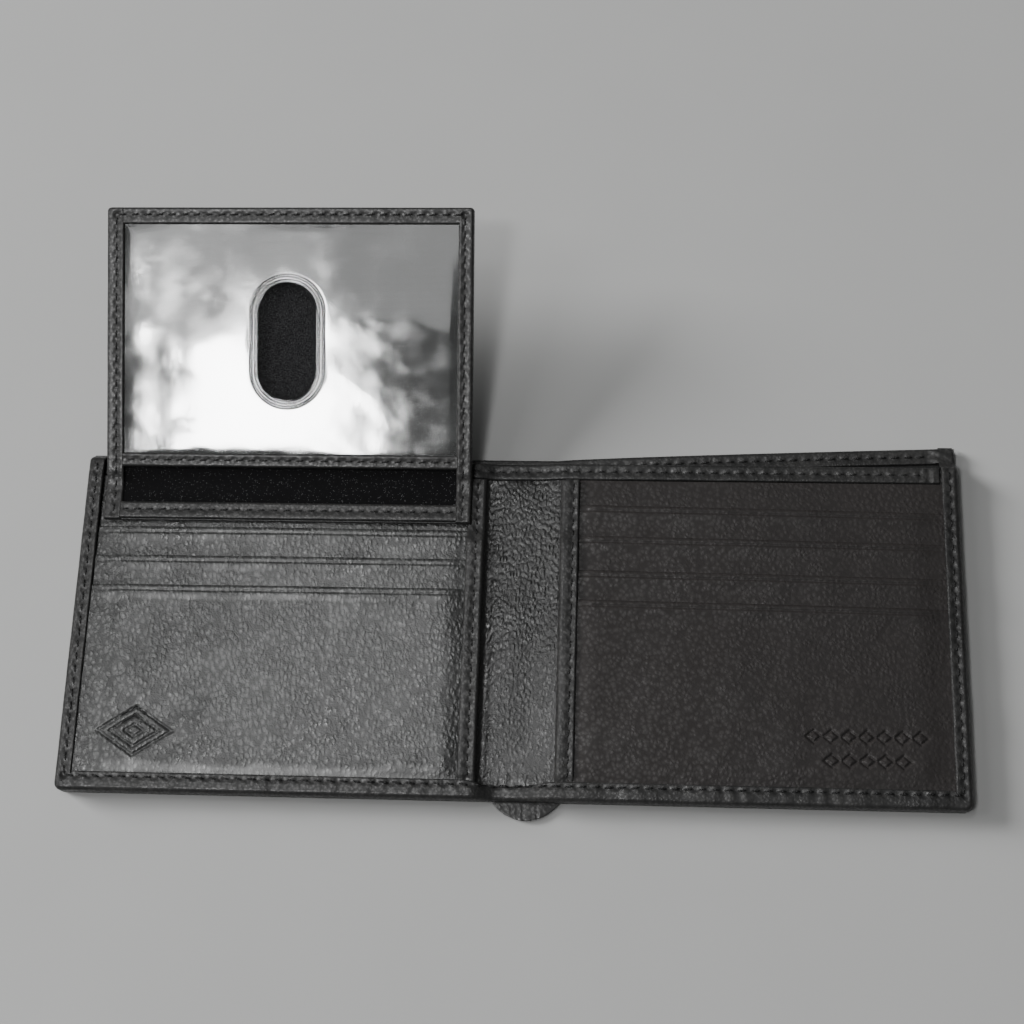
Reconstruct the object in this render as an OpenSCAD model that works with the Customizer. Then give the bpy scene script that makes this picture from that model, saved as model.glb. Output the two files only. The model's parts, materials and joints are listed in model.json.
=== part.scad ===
// Bifold wallet lying open, with a flip-up identity flap on the left side.
// Origin: middle of the spine, on the surface the wallet lies on. +X right, +Y towards the top edge, +Z up.

/* [Open wallet] */
// Width of the wallet lying open
open_w = 230; // [215:1:250]
// From the origin down to the bottom edge
bottom_reach = 45.7; // [44:0.1:50]
// From the origin up to the top edge of the cover
cover_reach = 45; // [44:0.1:50]
// How much higher the cover's top edge stands at the right end
cover_rise = 4.7; // [0:0.1:6]
// From the origin up to the top edge of the inner wall
wall_reach = 43.4; // [42.8:0.1:43.8]
// Distance between the two fold lines
spine_w = 20; // [18:0.5:24]
// How far the middle of the spine is from the origin
spine_shift = 1; // [0:0.1:1.5]
// Radius of the outer corners
corner_r = 2; // [1:0.1:4]

/* [Layers] */
// Thickness of the cover leather
cover_t = 1.1; // [0.9:0.05:1.1]
// Thickness of the stiffener board in each cover
board_t = 0.3; // [0.2:0.05:0.3]
// Thickness of the fabric linings
lining_t = 0.2; // [0.1:0.05:0.2]
// Height of the bill compartment
bill_gap = 0.9; // [0.7:0.05:0.9]
// Thickness of the inner wall's leather
wall_t = 0.75; // [0.6:0.05:0.75]
// Thickness of the pocket backing leather
backing_t = 0.4; // [0.3:0.05:0.4]
// Clearance between layers that slide on each other
slip_gap = 0.15; // [0.1:0.01:0.15]
// Thickness of the shielding foil behind the card slots
foil_t = 0.1; // [0.05:0.01:0.1]
// Thickness of a card slot's leather strip
strip_t = 0.35; // [0.3:0.05:0.35]
// Thickness of a front pocket's leather
front_t = 0.65; // [0.5:0.05:0.65]

/* [Edges and seams] */
// Width of the turned edge that frames each side
binding_w = 4.3; // [4:0.1:4.6]
// Width of the turned edge along the bottom
bottom_binding_w = 4.9; // [4:0.1:5]
// Thickness of the turned edge
binding_t = 0.5; // [0.3:0.05:0.5]
// Width of the turned edge along the top
hem_w = 4.4; // [4:0.1:4.8]
// Width of the trim on each pocket panel's inner edge
trim_w = 4.4; // [4:0.1:4.6]
// Distance from an edge to its seam
seam_inset = 2.4; // [2:0.1:2.8]
// Width of a seam's thread
thread_w = 0.5; // [0.3:0.05:0.6]

/* [Card slots] */
// Height of the top edge of each slot strip on the left
left_slots = [24.5, 16.5]; // [10:0.1:25]
// Height of the top edge of the left front pocket
left_front = 8.4; // [4:0.1:12]
// Height of the top edge of each slot strip on the right
right_slots = [32, 23.5, 14.2]; // [10:0.1:33]
// Height of the top edge of the right front pocket
right_front = 6.2; // [2:0.1:10]
// Height of a slot's leather strip, its hidden part included
strip_h = 14; // [11:0.5:16]
// How much lower the right slots' edges are at the outer side
slot_drop = 1.2; // [0:0.1:2]

/* [Identity flap] */
// Width of the flap
flap_w = 97.7; // [92:0.1:98]
// Length of the flap from its hinge line to its free edge
flap_len = 72.8; // [68:0.1:76]
// Gap between the flap's side and the fold line beside it
flap_margin = 2.5; // [2.4:0.1:4]
// Height of the hinge line from the origin, along Y
hinge_y = 36; // [35.5:0.1:36.5]
// Height of the hinge line above the table
hinge_z = 6.9; // [6.9:0.1:7.5]
// Angle at which the flap is held up
flap_raise = 19.4; // [0:0.1:90]
// Width of the leather frame around the window
frame_w = 4.8; // [4.4:0.1:5]
// Width of the thumb hole
thumb_w = 15.5; // [12:0.5:18]
// Length of the thumb hole
thumb_len = 31; // [24:0.5:36]
// Width of the welded rim around the thumb hole
rim_w = 2.4; // [1.5:0.1:3]
// Height of the rim above the window
rim_h = 0.3; // [0.1:0.05:0.4]
// Clear plastic window's thickness
window_t = 0.25; // [0.15:0.05:0.25]

/* [Bottom lip] */
// How far the cover bulges out below the spine
lip_reach = 4.1; // [2:0.1:5]
// Width of that bulge at the bottom edge
lip_w = 13.8; // [10:0.1:15]
// How far the bulge's middle is from the spine's middle
lip_shift = 3.5; // [-2:0.1:3.5]

/* [Hidden] */
$fn = 64;
leather_black = [0.10, 0.10, 0.11];
leather_sheen = [0.20, 0.20, 0.21];
fabric_black = [0.05, 0.05, 0.06];
board_grey = [0.35, 0.33, 0.30];
foil_grey = [0.65, 0.66, 0.68];
plastic_clear = [0.80, 0.84, 0.86, 0.45];
thread_black = [0.02, 0.02, 0.02];

outer_x = open_w / 2;
fold_left = spine_shift - spine_w / 2;
fold_right = spine_shift + spine_w / 2;
fold_gap = 0.05;
glue_gap = 0.05;
seam_end = 1;
edge_wall = 0.6;
board_margin = 3;
layer_end = outer_x - corner_r;
hem_end = outer_x - binding_w;
far = 2 * open_w;
bottom_y = -bottom_reach;

// Heights of the layers in the two panels
board_z = cover_t;
cover_lining_z = board_z + board_t;
cover_hem_z = cover_lining_z + lining_t;
cover_hem_t = 0.45;
wall_lining_t = 0.15;
wall_lining_z = cover_hem_z + bill_gap;
wall_z = wall_lining_z + wall_lining_t;
wall_top = wall_z + wall_t;
backing_z = wall_top + slip_gap;
backing_top = backing_z + backing_t;
binding_z = backing_top + glue_gap;
slot_lining_t = 0.1;
slot_pitch = slip_gap + slot_lining_t + strip_t;
slot_start_z = backing_top + foil_t;

// Heights of the layers in the spine, which is thinner so that it can bend
spine_lining_z = cover_t;
spine_wall_lining_z = spine_lining_z + lining_t + glue_gap;
spine_wall_z = spine_wall_lining_z + wall_lining_t;
spine_wall_t = 0.7;
spine_wall_top = spine_wall_z + spine_wall_t;

// Pocket panels: where each one's inner edge stands, and the span of its layers
left_edge_past_fold = 0.9;
right_edge_past_fold = 1.4;
pocket_edge_left = fold_left + left_edge_past_fold;
pocket_edge_right = fold_right + right_edge_past_fold;
pocket_gap = 0.1;
pocket_outer = outer_x - binding_w - pocket_gap;
pocket_bottom = bottom_y + bottom_binding_w + pocket_gap;
pocket_top = wall_reach - hem_w - pocket_gap;
lining_lift = 2;
lining_recess = 1;
slot_foot = pocket_bottom + lining_lift;
trim_wall = 0.4;
trim_t = 0.5;
hem_t = backing_top - wall_top;

// Identity flap: spans along X, and heights above the flap's own underside
flap_x1 = fold_left - flap_margin;
flap_x0 = flap_x1 - flap_w;
flap_start = 0.5;
flap_back_t = 0.9;
flap_lining_z = flap_back_t;
flap_lining_inset = 1;
id_gap_z = flap_lining_z + lining_t;
id_gap = 0.3;
window_z = id_gap_z + id_gap;
frame_z = window_z + window_t;
frame_t = 0.6;
flap_top = frame_z + frame_t;
hinge_clearance = 0.1;
flap_drop = flap_top + hinge_clearance;
window_tuck = 1.2;
mid_bar_y0 = 4.1;
mid_bar_y1 = 7.8;
window_y0 = mid_bar_y1 - window_tuck;
thumb_shift = -0.5;
thumb_x = (flap_x0 + flap_x1) / 2 + thumb_shift;
thumb_y = 37.5;

// Flap anchor: the end of the flap that is sewn to the left panel, and passes over its edge trim
anchor_y0 = 26;
anchor_y1 = hinge_y - flap_start;
anchor_bar_y0 = 26.6;
anchor_bar_y1 = 30.9;
anchor_side_w = 3.7;
anchor_base_z = backing_top + trim_t;
anchor_lining_z = anchor_base_z + flap_back_t;
anchor_bar_z = anchor_lining_z + lining_t;
anchor_bar_t = 0.7;

thread_t = 0.15;

// ---- Shared shapes ----

// A box between two corners in plan, from height z up by t
module slab(x0, x1, y0, y1, z, t) {
    translate([x0, y0, z]) cube([x1 - x0, y1 - y0, t]);
}

// What a rounded corner of radius r takes off a square one at the origin
module corner_cut(r) {
    difference() {
        translate([-r, -r]) square(2 * r);
        translate([r, r]) circle(r);
        translate([r, -r]) square(2 * r);
        translate([-r, r]) square(2 * r);
    }
}

// Plan of the left panel, drawn in by inset from its three outer edges
module left_plan(inset = 0) {
    x0 = inset - outer_x;
    x1 = fold_left - fold_gap;
    y0 = bottom_y + inset;
    y1 = cover_reach - inset;
    difference() {
        translate([x0, y0]) square([x1 - x0, y1 - y0]);
        translate([x0, y0]) corner_cut(corner_r - inset);
        translate([x0, y1]) mirror([0, 1]) corner_cut(corner_r - inset);
    }
}

// Plan of the right panel, whose top edge rises towards the outer corner
module right_plan(inset = 0) {
    x0 = fold_right + fold_gap;
    x1 = outer_x - inset;
    y0 = bottom_y + inset;
    y1 = cover_reach - inset;
    difference() {
        polygon([[x0, y0], [x1, y0], [x1, y1 + cover_rise], [x0, y1]]);
        translate([x1, y0]) mirror([1, 0]) corner_cut(corner_r - inset);
        translate([x1, y1 + cover_rise]) rotate(180) corner_cut(corner_r - inset);
    }
}

// Plan of the spine, drawn in by inset from its top and bottom edges
module spine_plan(inset = 0) {
    translate([fold_left + fold_gap, bottom_y + inset])
        square([spine_w - 2 * fold_gap, bottom_reach + cover_reach - 2 * inset]);
}

// Everything further out than x on side s, -1 for left and 1 for right
module outside(s, x) {
    translate([s > 0 ? x : -x - far, -far / 2]) square(far);
}

// A straight seam's thread lying on height z
module seam(x0, x1, y0, y1, z) {
    slab(x0 - thread_w / 2, x1 + thread_w / 2, y0 - thread_w / 2, y1 + thread_w / 2, z, thread_t);
}

// The turned edge along one side: a flange on top and a wall around the layers.
// Its children are the panel's full plan and the same plan drawn in by the wall.
module side_binding(s) {
    translate([0, 0, binding_z]) linear_extrude(binding_t) intersection() {
        children(0);
        outside(s, outer_x - binding_w);
    }
    translate([0, 0, cover_t]) linear_extrude(binding_z - cover_t) intersection() {
        difference() {
            children(0);
            children(1);
        }
        outside(s, outer_x - binding_w);
    }
}

// The turned edge along the bottom between x0 and x1, with its flange at height z
module bottom_binding(x0, x1, z) {
    slab(x0, x1, bottom_y, bottom_y + bottom_binding_w, z, binding_t);
    slab(x0, x1, bottom_y, bottom_y + edge_wall, cover_t, z - cover_t);
}

// A flat strip w wide whose top edge runs from height y0 at x0 to y1 at x1
module top_strip(x0, x1, y0, y1, w, z, t) {
    translate([0, 0, z]) linear_extrude(t)
        polygon([[x0, y0 - w], [x1, y1 - w], [x1, y1], [x0, y0]]);
}

// The turned top edge of a cover: a flange at height z and a low wall down to the leather
module cover_hem(x0, x1, y0, y1, z) {
    top_strip(x0, x1, y0, y1, hem_w, z, cover_hem_t);
    top_strip(x0, x1, y0, y1, edge_wall, cover_t, z - cover_t);
}

// Height of the right cover's top edge at x
function right_top(x) = cover_reach + cover_rise * (x - fold_right) / (outer_x - fold_right);

// A pocket layer from height foot up to top, whose top edge drops by drop towards x1
module pocket_layer(x0, x1, foot, top, drop, z, t) {
    translate([0, 0, z]) linear_extrude(t)
        polygon([[x0, foot], [x1, foot], [x1, top - drop], [x0, top]]);
}

// The trim around a pocket panel's inner edge at x, with the panel on side s of it
module edge_trim(x, s) {
    x_in = x + s * trim_w;
    wall_in = x + s * trim_wall;
    slab(min(x, x_in), max(x, x_in), pocket_bottom, pocket_top, backing_top, trim_t);
    slab(min(x, wall_in), max(x, wall_in), pocket_bottom, pocket_top, backing_z, backing_t);
}

// ---- Spine ----

module cover_leather_spine() {
    lip_r = (pow(lip_w / 2, 2) + pow(lip_reach, 2)) / (2 * lip_reach);
    color(leather_black) linear_extrude(cover_t) {
        spine_plan();
        intersection() {
            translate([spine_shift + lip_shift, bottom_y - lip_reach + lip_r]) circle(lip_r);
            translate([fold_left + fold_gap, bottom_y - lip_reach])
                square([spine_w - 2 * fold_gap, 2 * lip_reach]);
        }
    }
}

module cover_lining_spine() {
    color(fabric_black) slab(fold_left + fold_gap, fold_right - fold_gap,
        bottom_y + edge_wall, cover_reach - edge_wall, spine_lining_z, lining_t);
}

module cover_hem_spine() {
    color(leather_black) {
        slab(fold_left + fold_gap, fold_right - fold_gap,
            cover_reach - edge_wall, cover_reach, cover_t, lining_t);
        slab(fold_left + fold_gap, fold_right - fold_gap,
            wall_reach + pocket_gap, cover_reach, cover_t + lining_t, cover_hem_t);
    }
}

module inner_wall_spine() {
    color(leather_sheen) slab(fold_left + fold_gap, fold_right - fold_gap,
        bottom_y + edge_wall, wall_reach, spine_wall_z, spine_wall_t);
}

module inner_wall_lining_spine() {
    color(fabric_black) slab(fold_left + fold_gap, fold_right - fold_gap,
        bottom_y + edge_wall, wall_reach, spine_wall_lining_z, wall_lining_t);
}

module top_hem_spine() {
    color(leather_black) slab(fold_left + fold_gap, fold_right - fold_gap,
        wall_reach - hem_w, wall_reach, spine_wall_top, binding_t);
}

module bottom_binding_spine() {
    color(leather_black)
        bottom_binding(fold_left + fold_gap, fold_right - fold_gap, spine_wall_top);
}

module thread_spine() {
    color(thread_black) for (y = [wall_reach - seam_inset, bottom_y + seam_inset])
        seam(fold_left + seam_end, fold_right - seam_end, y, y, spine_wall_top + binding_t);
}

// ---- Covers and inner wall, both sides ----

// The board that stiffens one cover between x0 and x1
module cover_stiffener(x0, x1) {
    color(board_grey) slab(x0, x1, bottom_y + corner_r, cover_reach - corner_r, board_z, board_t);
}

// A sheet inside a panel between x0 and x1, from the bottom edge wall up to y1
module panel_sheet(x0, x1, y1, z, t) {
    slab(x0, x1, bottom_y + edge_wall, y1, z, t);
}

module cover_leather_left() {
    color(leather_black) linear_extrude(cover_t) left_plan();
}

module cover_stiffener_left() {
    cover_stiffener(-layer_end, fold_left - board_margin);
}

module cover_lining_left() {
    color(fabric_black)
        panel_sheet(-layer_end, fold_left - fold_gap, cover_reach - edge_wall, cover_lining_z, lining_t);
}

module cover_hem_left() {
    color(leather_black)
        cover_hem(-hem_end, fold_left - fold_gap, cover_reach, cover_reach, cover_hem_z);
}

module inner_wall_left() {
    color(leather_sheen) panel_sheet(-layer_end, fold_left - fold_gap, wall_reach, wall_z, wall_t);
}

module inner_wall_lining_left() {
    color(fabric_black)
        panel_sheet(-layer_end, fold_left - fold_gap, wall_reach, wall_lining_z, wall_lining_t);
}

module side_binding_left() {
    color(leather_black) side_binding(-1) {
        left_plan();
        left_plan(edge_wall);
    }
}

module bottom_binding_left() {
    color(leather_black) bottom_binding(binding_w - outer_x, fold_left - fold_gap, binding_z);
}

module top_hem_left() {
    color(leather_black)
        slab(-pocket_outer, fold_left - fold_gap, wall_reach - hem_w, wall_reach, wall_top, hem_t);
}

module pocket_backing_left() {
    color(leather_sheen) slab(-layer_end, pocket_edge_left - trim_wall,
        bottom_y + edge_wall, pocket_top, backing_z, backing_t);
}

module inner_edge_trim_left() {
    color(leather_black) edge_trim(pocket_edge_left, -1);
}

module shield_foil_left() {
    color(foil_grey) slab(-pocket_outer, pocket_edge_left - trim_w - pocket_gap,
        pocket_bottom, left_slots[0] - lining_recess, backing_top, foil_t);
}

// A layer of the left card slots or front pocket
module left_layer(foot, top, z, t) {
    pocket_layer(-pocket_outer, pocket_edge_left - trim_w - pocket_gap, foot, top, 0, z, t);
}

module slot_lining_left(i) {
    color(fabric_black)
        left_layer(slot_foot, left_slots[i] - lining_recess,
            slot_start_z + i * slot_pitch + slip_gap, slot_lining_t);
}

module slot_strip_left(i) {
    color(leather_sheen) left_layer(left_slots[i] - strip_h, left_slots[i],
        slot_start_z + (i + 1) * slot_pitch - strip_t, strip_t);
}

module front_pocket_lining_left() {
    color(fabric_black)
        left_layer(pocket_bottom, left_front - lining_recess,
            slot_start_z + len(left_slots) * slot_pitch + slip_gap, slot_lining_t);
}

module front_pocket_left() {
    color(leather_sheen) left_layer(pocket_bottom, left_front,
        slot_start_z + len(left_slots) * slot_pitch + slip_gap + slot_lining_t, front_t);
}

module flap_anchor_base() {
    color(leather_black) {
        slab(flap_x0, flap_x1, anchor_y0, anchor_y1, anchor_base_z, flap_back_t);
        slab(flap_x0, pocket_edge_left - trim_w - pocket_gap, anchor_y0, anchor_y1, backing_top, trim_t);
    }
}

module flap_anchor_lining() {
    color(fabric_black) slab(flap_x0 + anchor_side_w, flap_x1 - anchor_side_w,
        anchor_bar_y0, anchor_y1, anchor_lining_z, lining_t);
}

module flap_anchor_bar() {
    color(leather_black) slab(flap_x0 + anchor_side_w, flap_x1 - anchor_side_w,
        anchor_bar_y0, anchor_bar_y1, anchor_bar_z, anchor_bar_t);
}

module flap_anchor_sides() {
    color(leather_black) for (x = [flap_x0, flap_x1 - anchor_side_w])
        slab(x, x + anchor_side_w - glue_gap, anchor_y0, anchor_y1, anchor_lining_z, lining_t + anchor_bar_t);
}

module thread_left() {
    side_x = seam_inset - outer_x;
    bottom_seam_y = bottom_y + seam_inset;
    binding_top = binding_z + binding_t;
    anchor_top = anchor_bar_z + anchor_bar_t;
    trim_seam_x = pocket_edge_left - seam_inset;
    anchor_seam_y = (anchor_bar_y0 + anchor_bar_y1) / 2;
    color(thread_black) {
        seam(side_x, side_x, bottom_seam_y, wall_reach, binding_top);
        seam(-pocket_outer, fold_left - seam_end, bottom_seam_y, bottom_seam_y, binding_top);
        seam(trim_seam_x, trim_seam_x, pocket_bottom + seam_end, hinge_y - seam_end, backing_top + trim_t);
        seam(flap_x0 + anchor_side_w + seam_end, flap_x1 - anchor_side_w - seam_end,
            anchor_seam_y, anchor_seam_y, anchor_top);
    }
}

// ---- Right panel ----

module cover_leather_right() {
    color(leather_black) linear_extrude(cover_t) right_plan();
}

module cover_stiffener_right() {
    cover_stiffener(fold_right + board_margin, layer_end);
}

module cover_lining_right() {
    color(fabric_black)
        panel_sheet(fold_right + fold_gap, layer_end, cover_reach - edge_wall, cover_lining_z, lining_t);
}

module cover_hem_right() {
    color(leather_black)
        cover_hem(fold_right + fold_gap, hem_end, cover_reach, right_top(hem_end), cover_hem_z);
}

module inner_wall_right() {
    color(leather_sheen) panel_sheet(fold_right + fold_gap, layer_end, wall_reach, wall_z, wall_t);
}

module inner_wall_lining_right() {
    color(fabric_black)
        panel_sheet(fold_right + fold_gap, layer_end, wall_reach, wall_lining_z, wall_lining_t);
}

module side_binding_right() {
    color(leather_black) side_binding(1) {
        right_plan();
        right_plan(edge_wall);
    }
}

module bottom_binding_right() {
    color(leather_black) bottom_binding(fold_right + fold_gap, outer_x - binding_w, binding_z);
}

module top_hem_right() {
    color(leather_black)
        slab(fold_right + fold_gap, pocket_outer, wall_reach - hem_w, wall_reach, wall_top, hem_t);
}

module pocket_backing_right() {
    color(leather_sheen) slab(pocket_edge_right + trim_wall, layer_end,
        bottom_y + edge_wall, pocket_top, backing_z, backing_t);
}

module inner_edge_trim_right() {
    color(leather_black) edge_trim(pocket_edge_right, 1);
}

module shield_foil_right() {
    color(foil_grey) slab(pocket_edge_right + trim_w + pocket_gap, pocket_outer,
        pocket_bottom, right_slots[0] - slot_drop - lining_recess, backing_top, foil_t);
}

// A layer of the right card slots or front pocket
module right_layer(foot, top, z, t) {
    pocket_layer(pocket_edge_right + trim_w + pocket_gap, pocket_outer, foot, top, slot_drop, z, t);
}

module slot_lining_right(i) {
    color(fabric_black)
        right_layer(slot_foot, right_slots[i] - lining_recess,
            slot_start_z + i * slot_pitch + slip_gap, slot_lining_t);
}

module slot_strip_right(i) {
    color(leather_sheen) right_layer(right_slots[i] - strip_h, right_slots[i],
        slot_start_z + (i + 1) * slot_pitch - strip_t, strip_t);
}

module front_pocket_lining_right() {
    color(fabric_black)
        right_layer(pocket_bottom, right_front - lining_recess,
            slot_start_z + len(right_slots) * slot_pitch + slip_gap, slot_lining_t);
}

module front_pocket_right() {
    color(leather_sheen) right_layer(pocket_bottom, right_front,
        slot_start_z + len(right_slots) * slot_pitch + slip_gap + slot_lining_t, front_t);
}

module thread_right() {
    side_x = outer_x - seam_inset;
    bottom_seam_y = bottom_y + seam_inset;
    binding_top = binding_z + binding_t;
    trim_seam_x = pocket_edge_right + seam_inset;
    seam_x1 = pocket_outer - seam_end;
    seam_x0 = fold_right + seam_end;
    hem_y = wall_reach - seam_inset;
    color(thread_black) {
        seam(side_x, side_x, bottom_seam_y, wall_reach, binding_top);
        seam(seam_x0, pocket_outer, bottom_seam_y, bottom_seam_y, binding_top);
        seam(trim_seam_x, trim_seam_x, pocket_bottom + seam_end, pocket_top - seam_end, backing_top + trim_t);
        seam(seam_x0, seam_x1, hem_y, hem_y, wall_top + hem_t);
        top_strip(seam_x0, seam_x1, right_top(seam_x0) - seam_inset,
            right_top(seam_x1) - seam_inset, thread_w, cover_hem_z + cover_hem_t, thread_t);
    }
}

// ---- Identity flap, built lying flat and raised about its hinge line ----

// Places flap shapes, drawn from the hinge line outwards and up from the flap's underside
module on_flap() {
    translate([0, hinge_y, hinge_z]) rotate([flap_raise, 0, 0]) translate([0, 0, -flap_drop]) children();
}

// A round-ended slot shape of width w and length l
module obround(w, l) {
    square([w, l - w], center = true);
    for (s = [-1, 1]) translate([0, s * (l - w) / 2]) circle(w / 2);
}

module flap_back_leather() {
    color(leather_black) on_flap() slab(flap_x0, flap_x1, flap_start, flap_len, 0, flap_back_t);
}

module flap_lining() {
    color(fabric_black) on_flap()
        slab(flap_x0 + flap_lining_inset, flap_x1 - flap_lining_inset,
            flap_start, flap_len - flap_lining_inset, flap_lining_z, lining_t);
}

module flap_window() {
    inset = frame_w - window_tuck;
    color(plastic_clear) on_flap() {
        translate([0, 0, window_z]) linear_extrude(window_t) difference() {
            translate([flap_x0 + inset, window_y0])
                square([flap_w - 2 * inset, flap_len - inset - window_y0]);
            translate([thumb_x, thumb_y]) obround(thumb_w, thumb_len);
        }
        translate([thumb_x, thumb_y, window_z + window_t]) linear_extrude(rim_h) difference() {
            obround(thumb_w + 2 * rim_w, thumb_len + 2 * rim_w);
            obround(thumb_w, thumb_len);
        }
    }
}

// One side of the leather frame: the strip itself and the narrower wall under it
module frame_bar(x0, x1, wall_x0, wall_x1) {
    slab(x0, x1, flap_start, flap_len, frame_z, frame_t);
    slab(wall_x0, wall_x1, flap_start, flap_len, id_gap_z, frame_z - id_gap_z);
}

module flap_frame() {
    wall_w = frame_w - window_tuck;
    color(leather_black) on_flap() {
        frame_bar(flap_x0, flap_x0 + frame_w, flap_x0, flap_x0 + wall_w);
        frame_bar(flap_x1 - frame_w, flap_x1, flap_x1 - wall_w, flap_x1);
        slab(flap_x0 + frame_w, flap_x1 - frame_w, flap_len - frame_w, flap_len, frame_z, frame_t);
        slab(flap_x0 + wall_w, flap_x1 - wall_w, flap_len - wall_w, flap_len,
            id_gap_z, frame_z - id_gap_z);
    }
}

module flap_mid_bar() {
    x0 = flap_x0 + frame_w;
    x1 = flap_x1 - frame_w;
    color(leather_black) on_flap() {
        slab(x0, x1, mid_bar_y0, mid_bar_y1, frame_z, frame_t);
        slab(x0, x1, mid_bar_y0, window_y0, window_z, window_t);
    }
}

module thread_flap() {
    x0 = flap_x0 + seam_inset;
    x1 = flap_x1 - seam_inset;
    y1 = flap_len - seam_inset;
    mid_y = (mid_bar_y0 + mid_bar_y1) / 2;
    color(thread_black) on_flap() {
        seam(x0, x0, flap_start + seam_end, y1, flap_top);
        seam(x1, x1, flap_start + seam_end, y1, flap_top);
        seam(x0 + seam_end, x1 - seam_end, y1, y1, flap_top);
        seam(flap_x0 + frame_w + seam_end, flap_x1 - frame_w - seam_end, mid_y, mid_y, flap_top);
    }
}

cover_leather_spine();
cover_lining_spine();
cover_hem_spine();
inner_wall_spine();
inner_wall_lining_spine();
top_hem_spine();
bottom_binding_spine();
thread_spine();
cover_leather_left();
cover_stiffener_left();
cover_lining_left();
cover_hem_left();
inner_wall_left();
inner_wall_lining_left();
side_binding_left();
bottom_binding_left();
top_hem_left();
pocket_backing_left();
inner_edge_trim_left();
shield_foil_left();
slot_lining_left(0);  // slot_lining_left_1
slot_lining_left(1);  // slot_lining_left_2
slot_strip_left(0);  // slot_strip_left_1
slot_strip_left(1);  // slot_strip_left_2
front_pocket_lining_left();
front_pocket_left();
flap_anchor_base();
flap_anchor_lining();
flap_anchor_bar();
flap_anchor_sides();
thread_left();
cover_leather_right();
cover_stiffener_right();
cover_lining_right();
cover_hem_right();
inner_wall_right();
inner_wall_lining_right();
side_binding_right();
bottom_binding_right();
top_hem_right();
pocket_backing_right();
inner_edge_trim_right();
shield_foil_right();
slot_lining_right(0);  // slot_lining_right_1
slot_lining_right(1);  // slot_lining_right_2
slot_lining_right(2);  // slot_lining_right_3
slot_strip_right(0);  // slot_strip_right_1
slot_strip_right(1);  // slot_strip_right_2
slot_strip_right(2);  // slot_strip_right_3
front_pocket_lining_right();
front_pocket_right();
thread_right();
flap_back_leather();
flap_lining();
flap_window();
flap_frame();
flap_mid_bar();
thread_flap();
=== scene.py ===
import json
import math

import bmesh
import bpy
import numpy as np
from mathutils import Matrix, Vector


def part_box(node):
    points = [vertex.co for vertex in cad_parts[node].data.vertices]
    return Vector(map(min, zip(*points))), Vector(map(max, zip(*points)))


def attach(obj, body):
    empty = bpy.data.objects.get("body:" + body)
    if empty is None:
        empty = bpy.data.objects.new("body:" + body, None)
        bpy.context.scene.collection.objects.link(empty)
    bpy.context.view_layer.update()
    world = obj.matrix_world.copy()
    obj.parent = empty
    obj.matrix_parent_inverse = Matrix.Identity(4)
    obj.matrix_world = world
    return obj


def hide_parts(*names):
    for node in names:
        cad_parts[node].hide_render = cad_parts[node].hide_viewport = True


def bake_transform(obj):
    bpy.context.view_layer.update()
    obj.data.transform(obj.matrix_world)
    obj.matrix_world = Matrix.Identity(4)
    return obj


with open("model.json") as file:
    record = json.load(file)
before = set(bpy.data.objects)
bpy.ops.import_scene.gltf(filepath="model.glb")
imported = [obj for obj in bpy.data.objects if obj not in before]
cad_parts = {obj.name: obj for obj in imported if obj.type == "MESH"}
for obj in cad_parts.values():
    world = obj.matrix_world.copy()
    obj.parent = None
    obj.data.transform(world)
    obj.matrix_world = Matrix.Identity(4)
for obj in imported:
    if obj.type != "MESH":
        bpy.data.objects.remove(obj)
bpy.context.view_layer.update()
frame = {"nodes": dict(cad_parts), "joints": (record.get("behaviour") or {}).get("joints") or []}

# ---------------------------------------------------------------- driving values, in millimetres

MM = 0.001
MIDDLE = 1.0  # x of the line halfway between the two folds
BEND_FROM = 6.5  # distance from the middle where leather starts to follow a panel
BEND_TO = 13.5  # distance from the middle where it follows the panel fully
CORNER = 2.0  # radius of the wallet's outer corners
STACK_FOOT = 3.55  # height at which the stack of pocket layers starts
STACK_CREST = 5.35  # height of the pressed stack of pockets in the middle of a panel
TRIM_SEAT = 4.85  # height of the underside of the strips over the pocket layers
TRIM_TOP = 5.5  # height of the top of those strips
TUCK = 1.6  # how far a pocket layer runs in under the strip that holds it
DIP = (8.5, 5.0, 4.5)  # width of the hollow beside the outer, inner and bottom strips
SWAY = 0.25  # slow rise and fall of the pocket layers
STITCH_PITCH, STITCH_LENGTH, STITCH_RADIUS = 3.3, 2.5, 0.27
DENT = 0.3  # depth of a needle hole's dimple
DENT_WIDTH = 0.72  # distance from the row at which the dimple has nearly run out
SLOT_DROP = 1.2  # how much lower the right slots end at their outer side
SLOT_LINE = 1.5  # the pressed line runs this far below a slot's edge
LIP = (4.7, 8.4, 4.5)  # middle x, half width and depth of the lip below the spine
CROWN = (3.0, 5.5, 0.45)  # middle x, half width and height of the spine strip's slight swell
GUTTER = (-6.9, 1.5, 0.75)  # the same of the dip where that strip goes in under the left pockets
HEM_FOOT = 40.6  # y of the lower edge of the cover's turned top edge
HEM_WIDTH = (4.4, 2.7)  # width of that turned edge on a panel and along the spine
CLOTH_SHORT = 0.6  # the inner wall's cloth ends this far below the leather
DEEP = -38.0  # pocket layers that reach below this y are held by the bottom strip
PAINTED_LIGHT_AT_HOLE = (-60.85, 71.0, 18.0)  # middle of a patch of the lining in the window's hole that is painted paler, as painted light
FOLD_ZONE = (0, BEND_TO + 0.5, 0.5)  # from, to and grid pitch of cloth where it bends
SHARP = math.radians(50)  # edges that turn by more than this are shaded sharp
HIDDEN_EDGE = 0.08  # share of the thickness that is left at a rolled edge
ROUND = 1 - np.cos(np.linspace(0, math.pi / 2, 6))  # rows of points over a rolled edge


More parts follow.
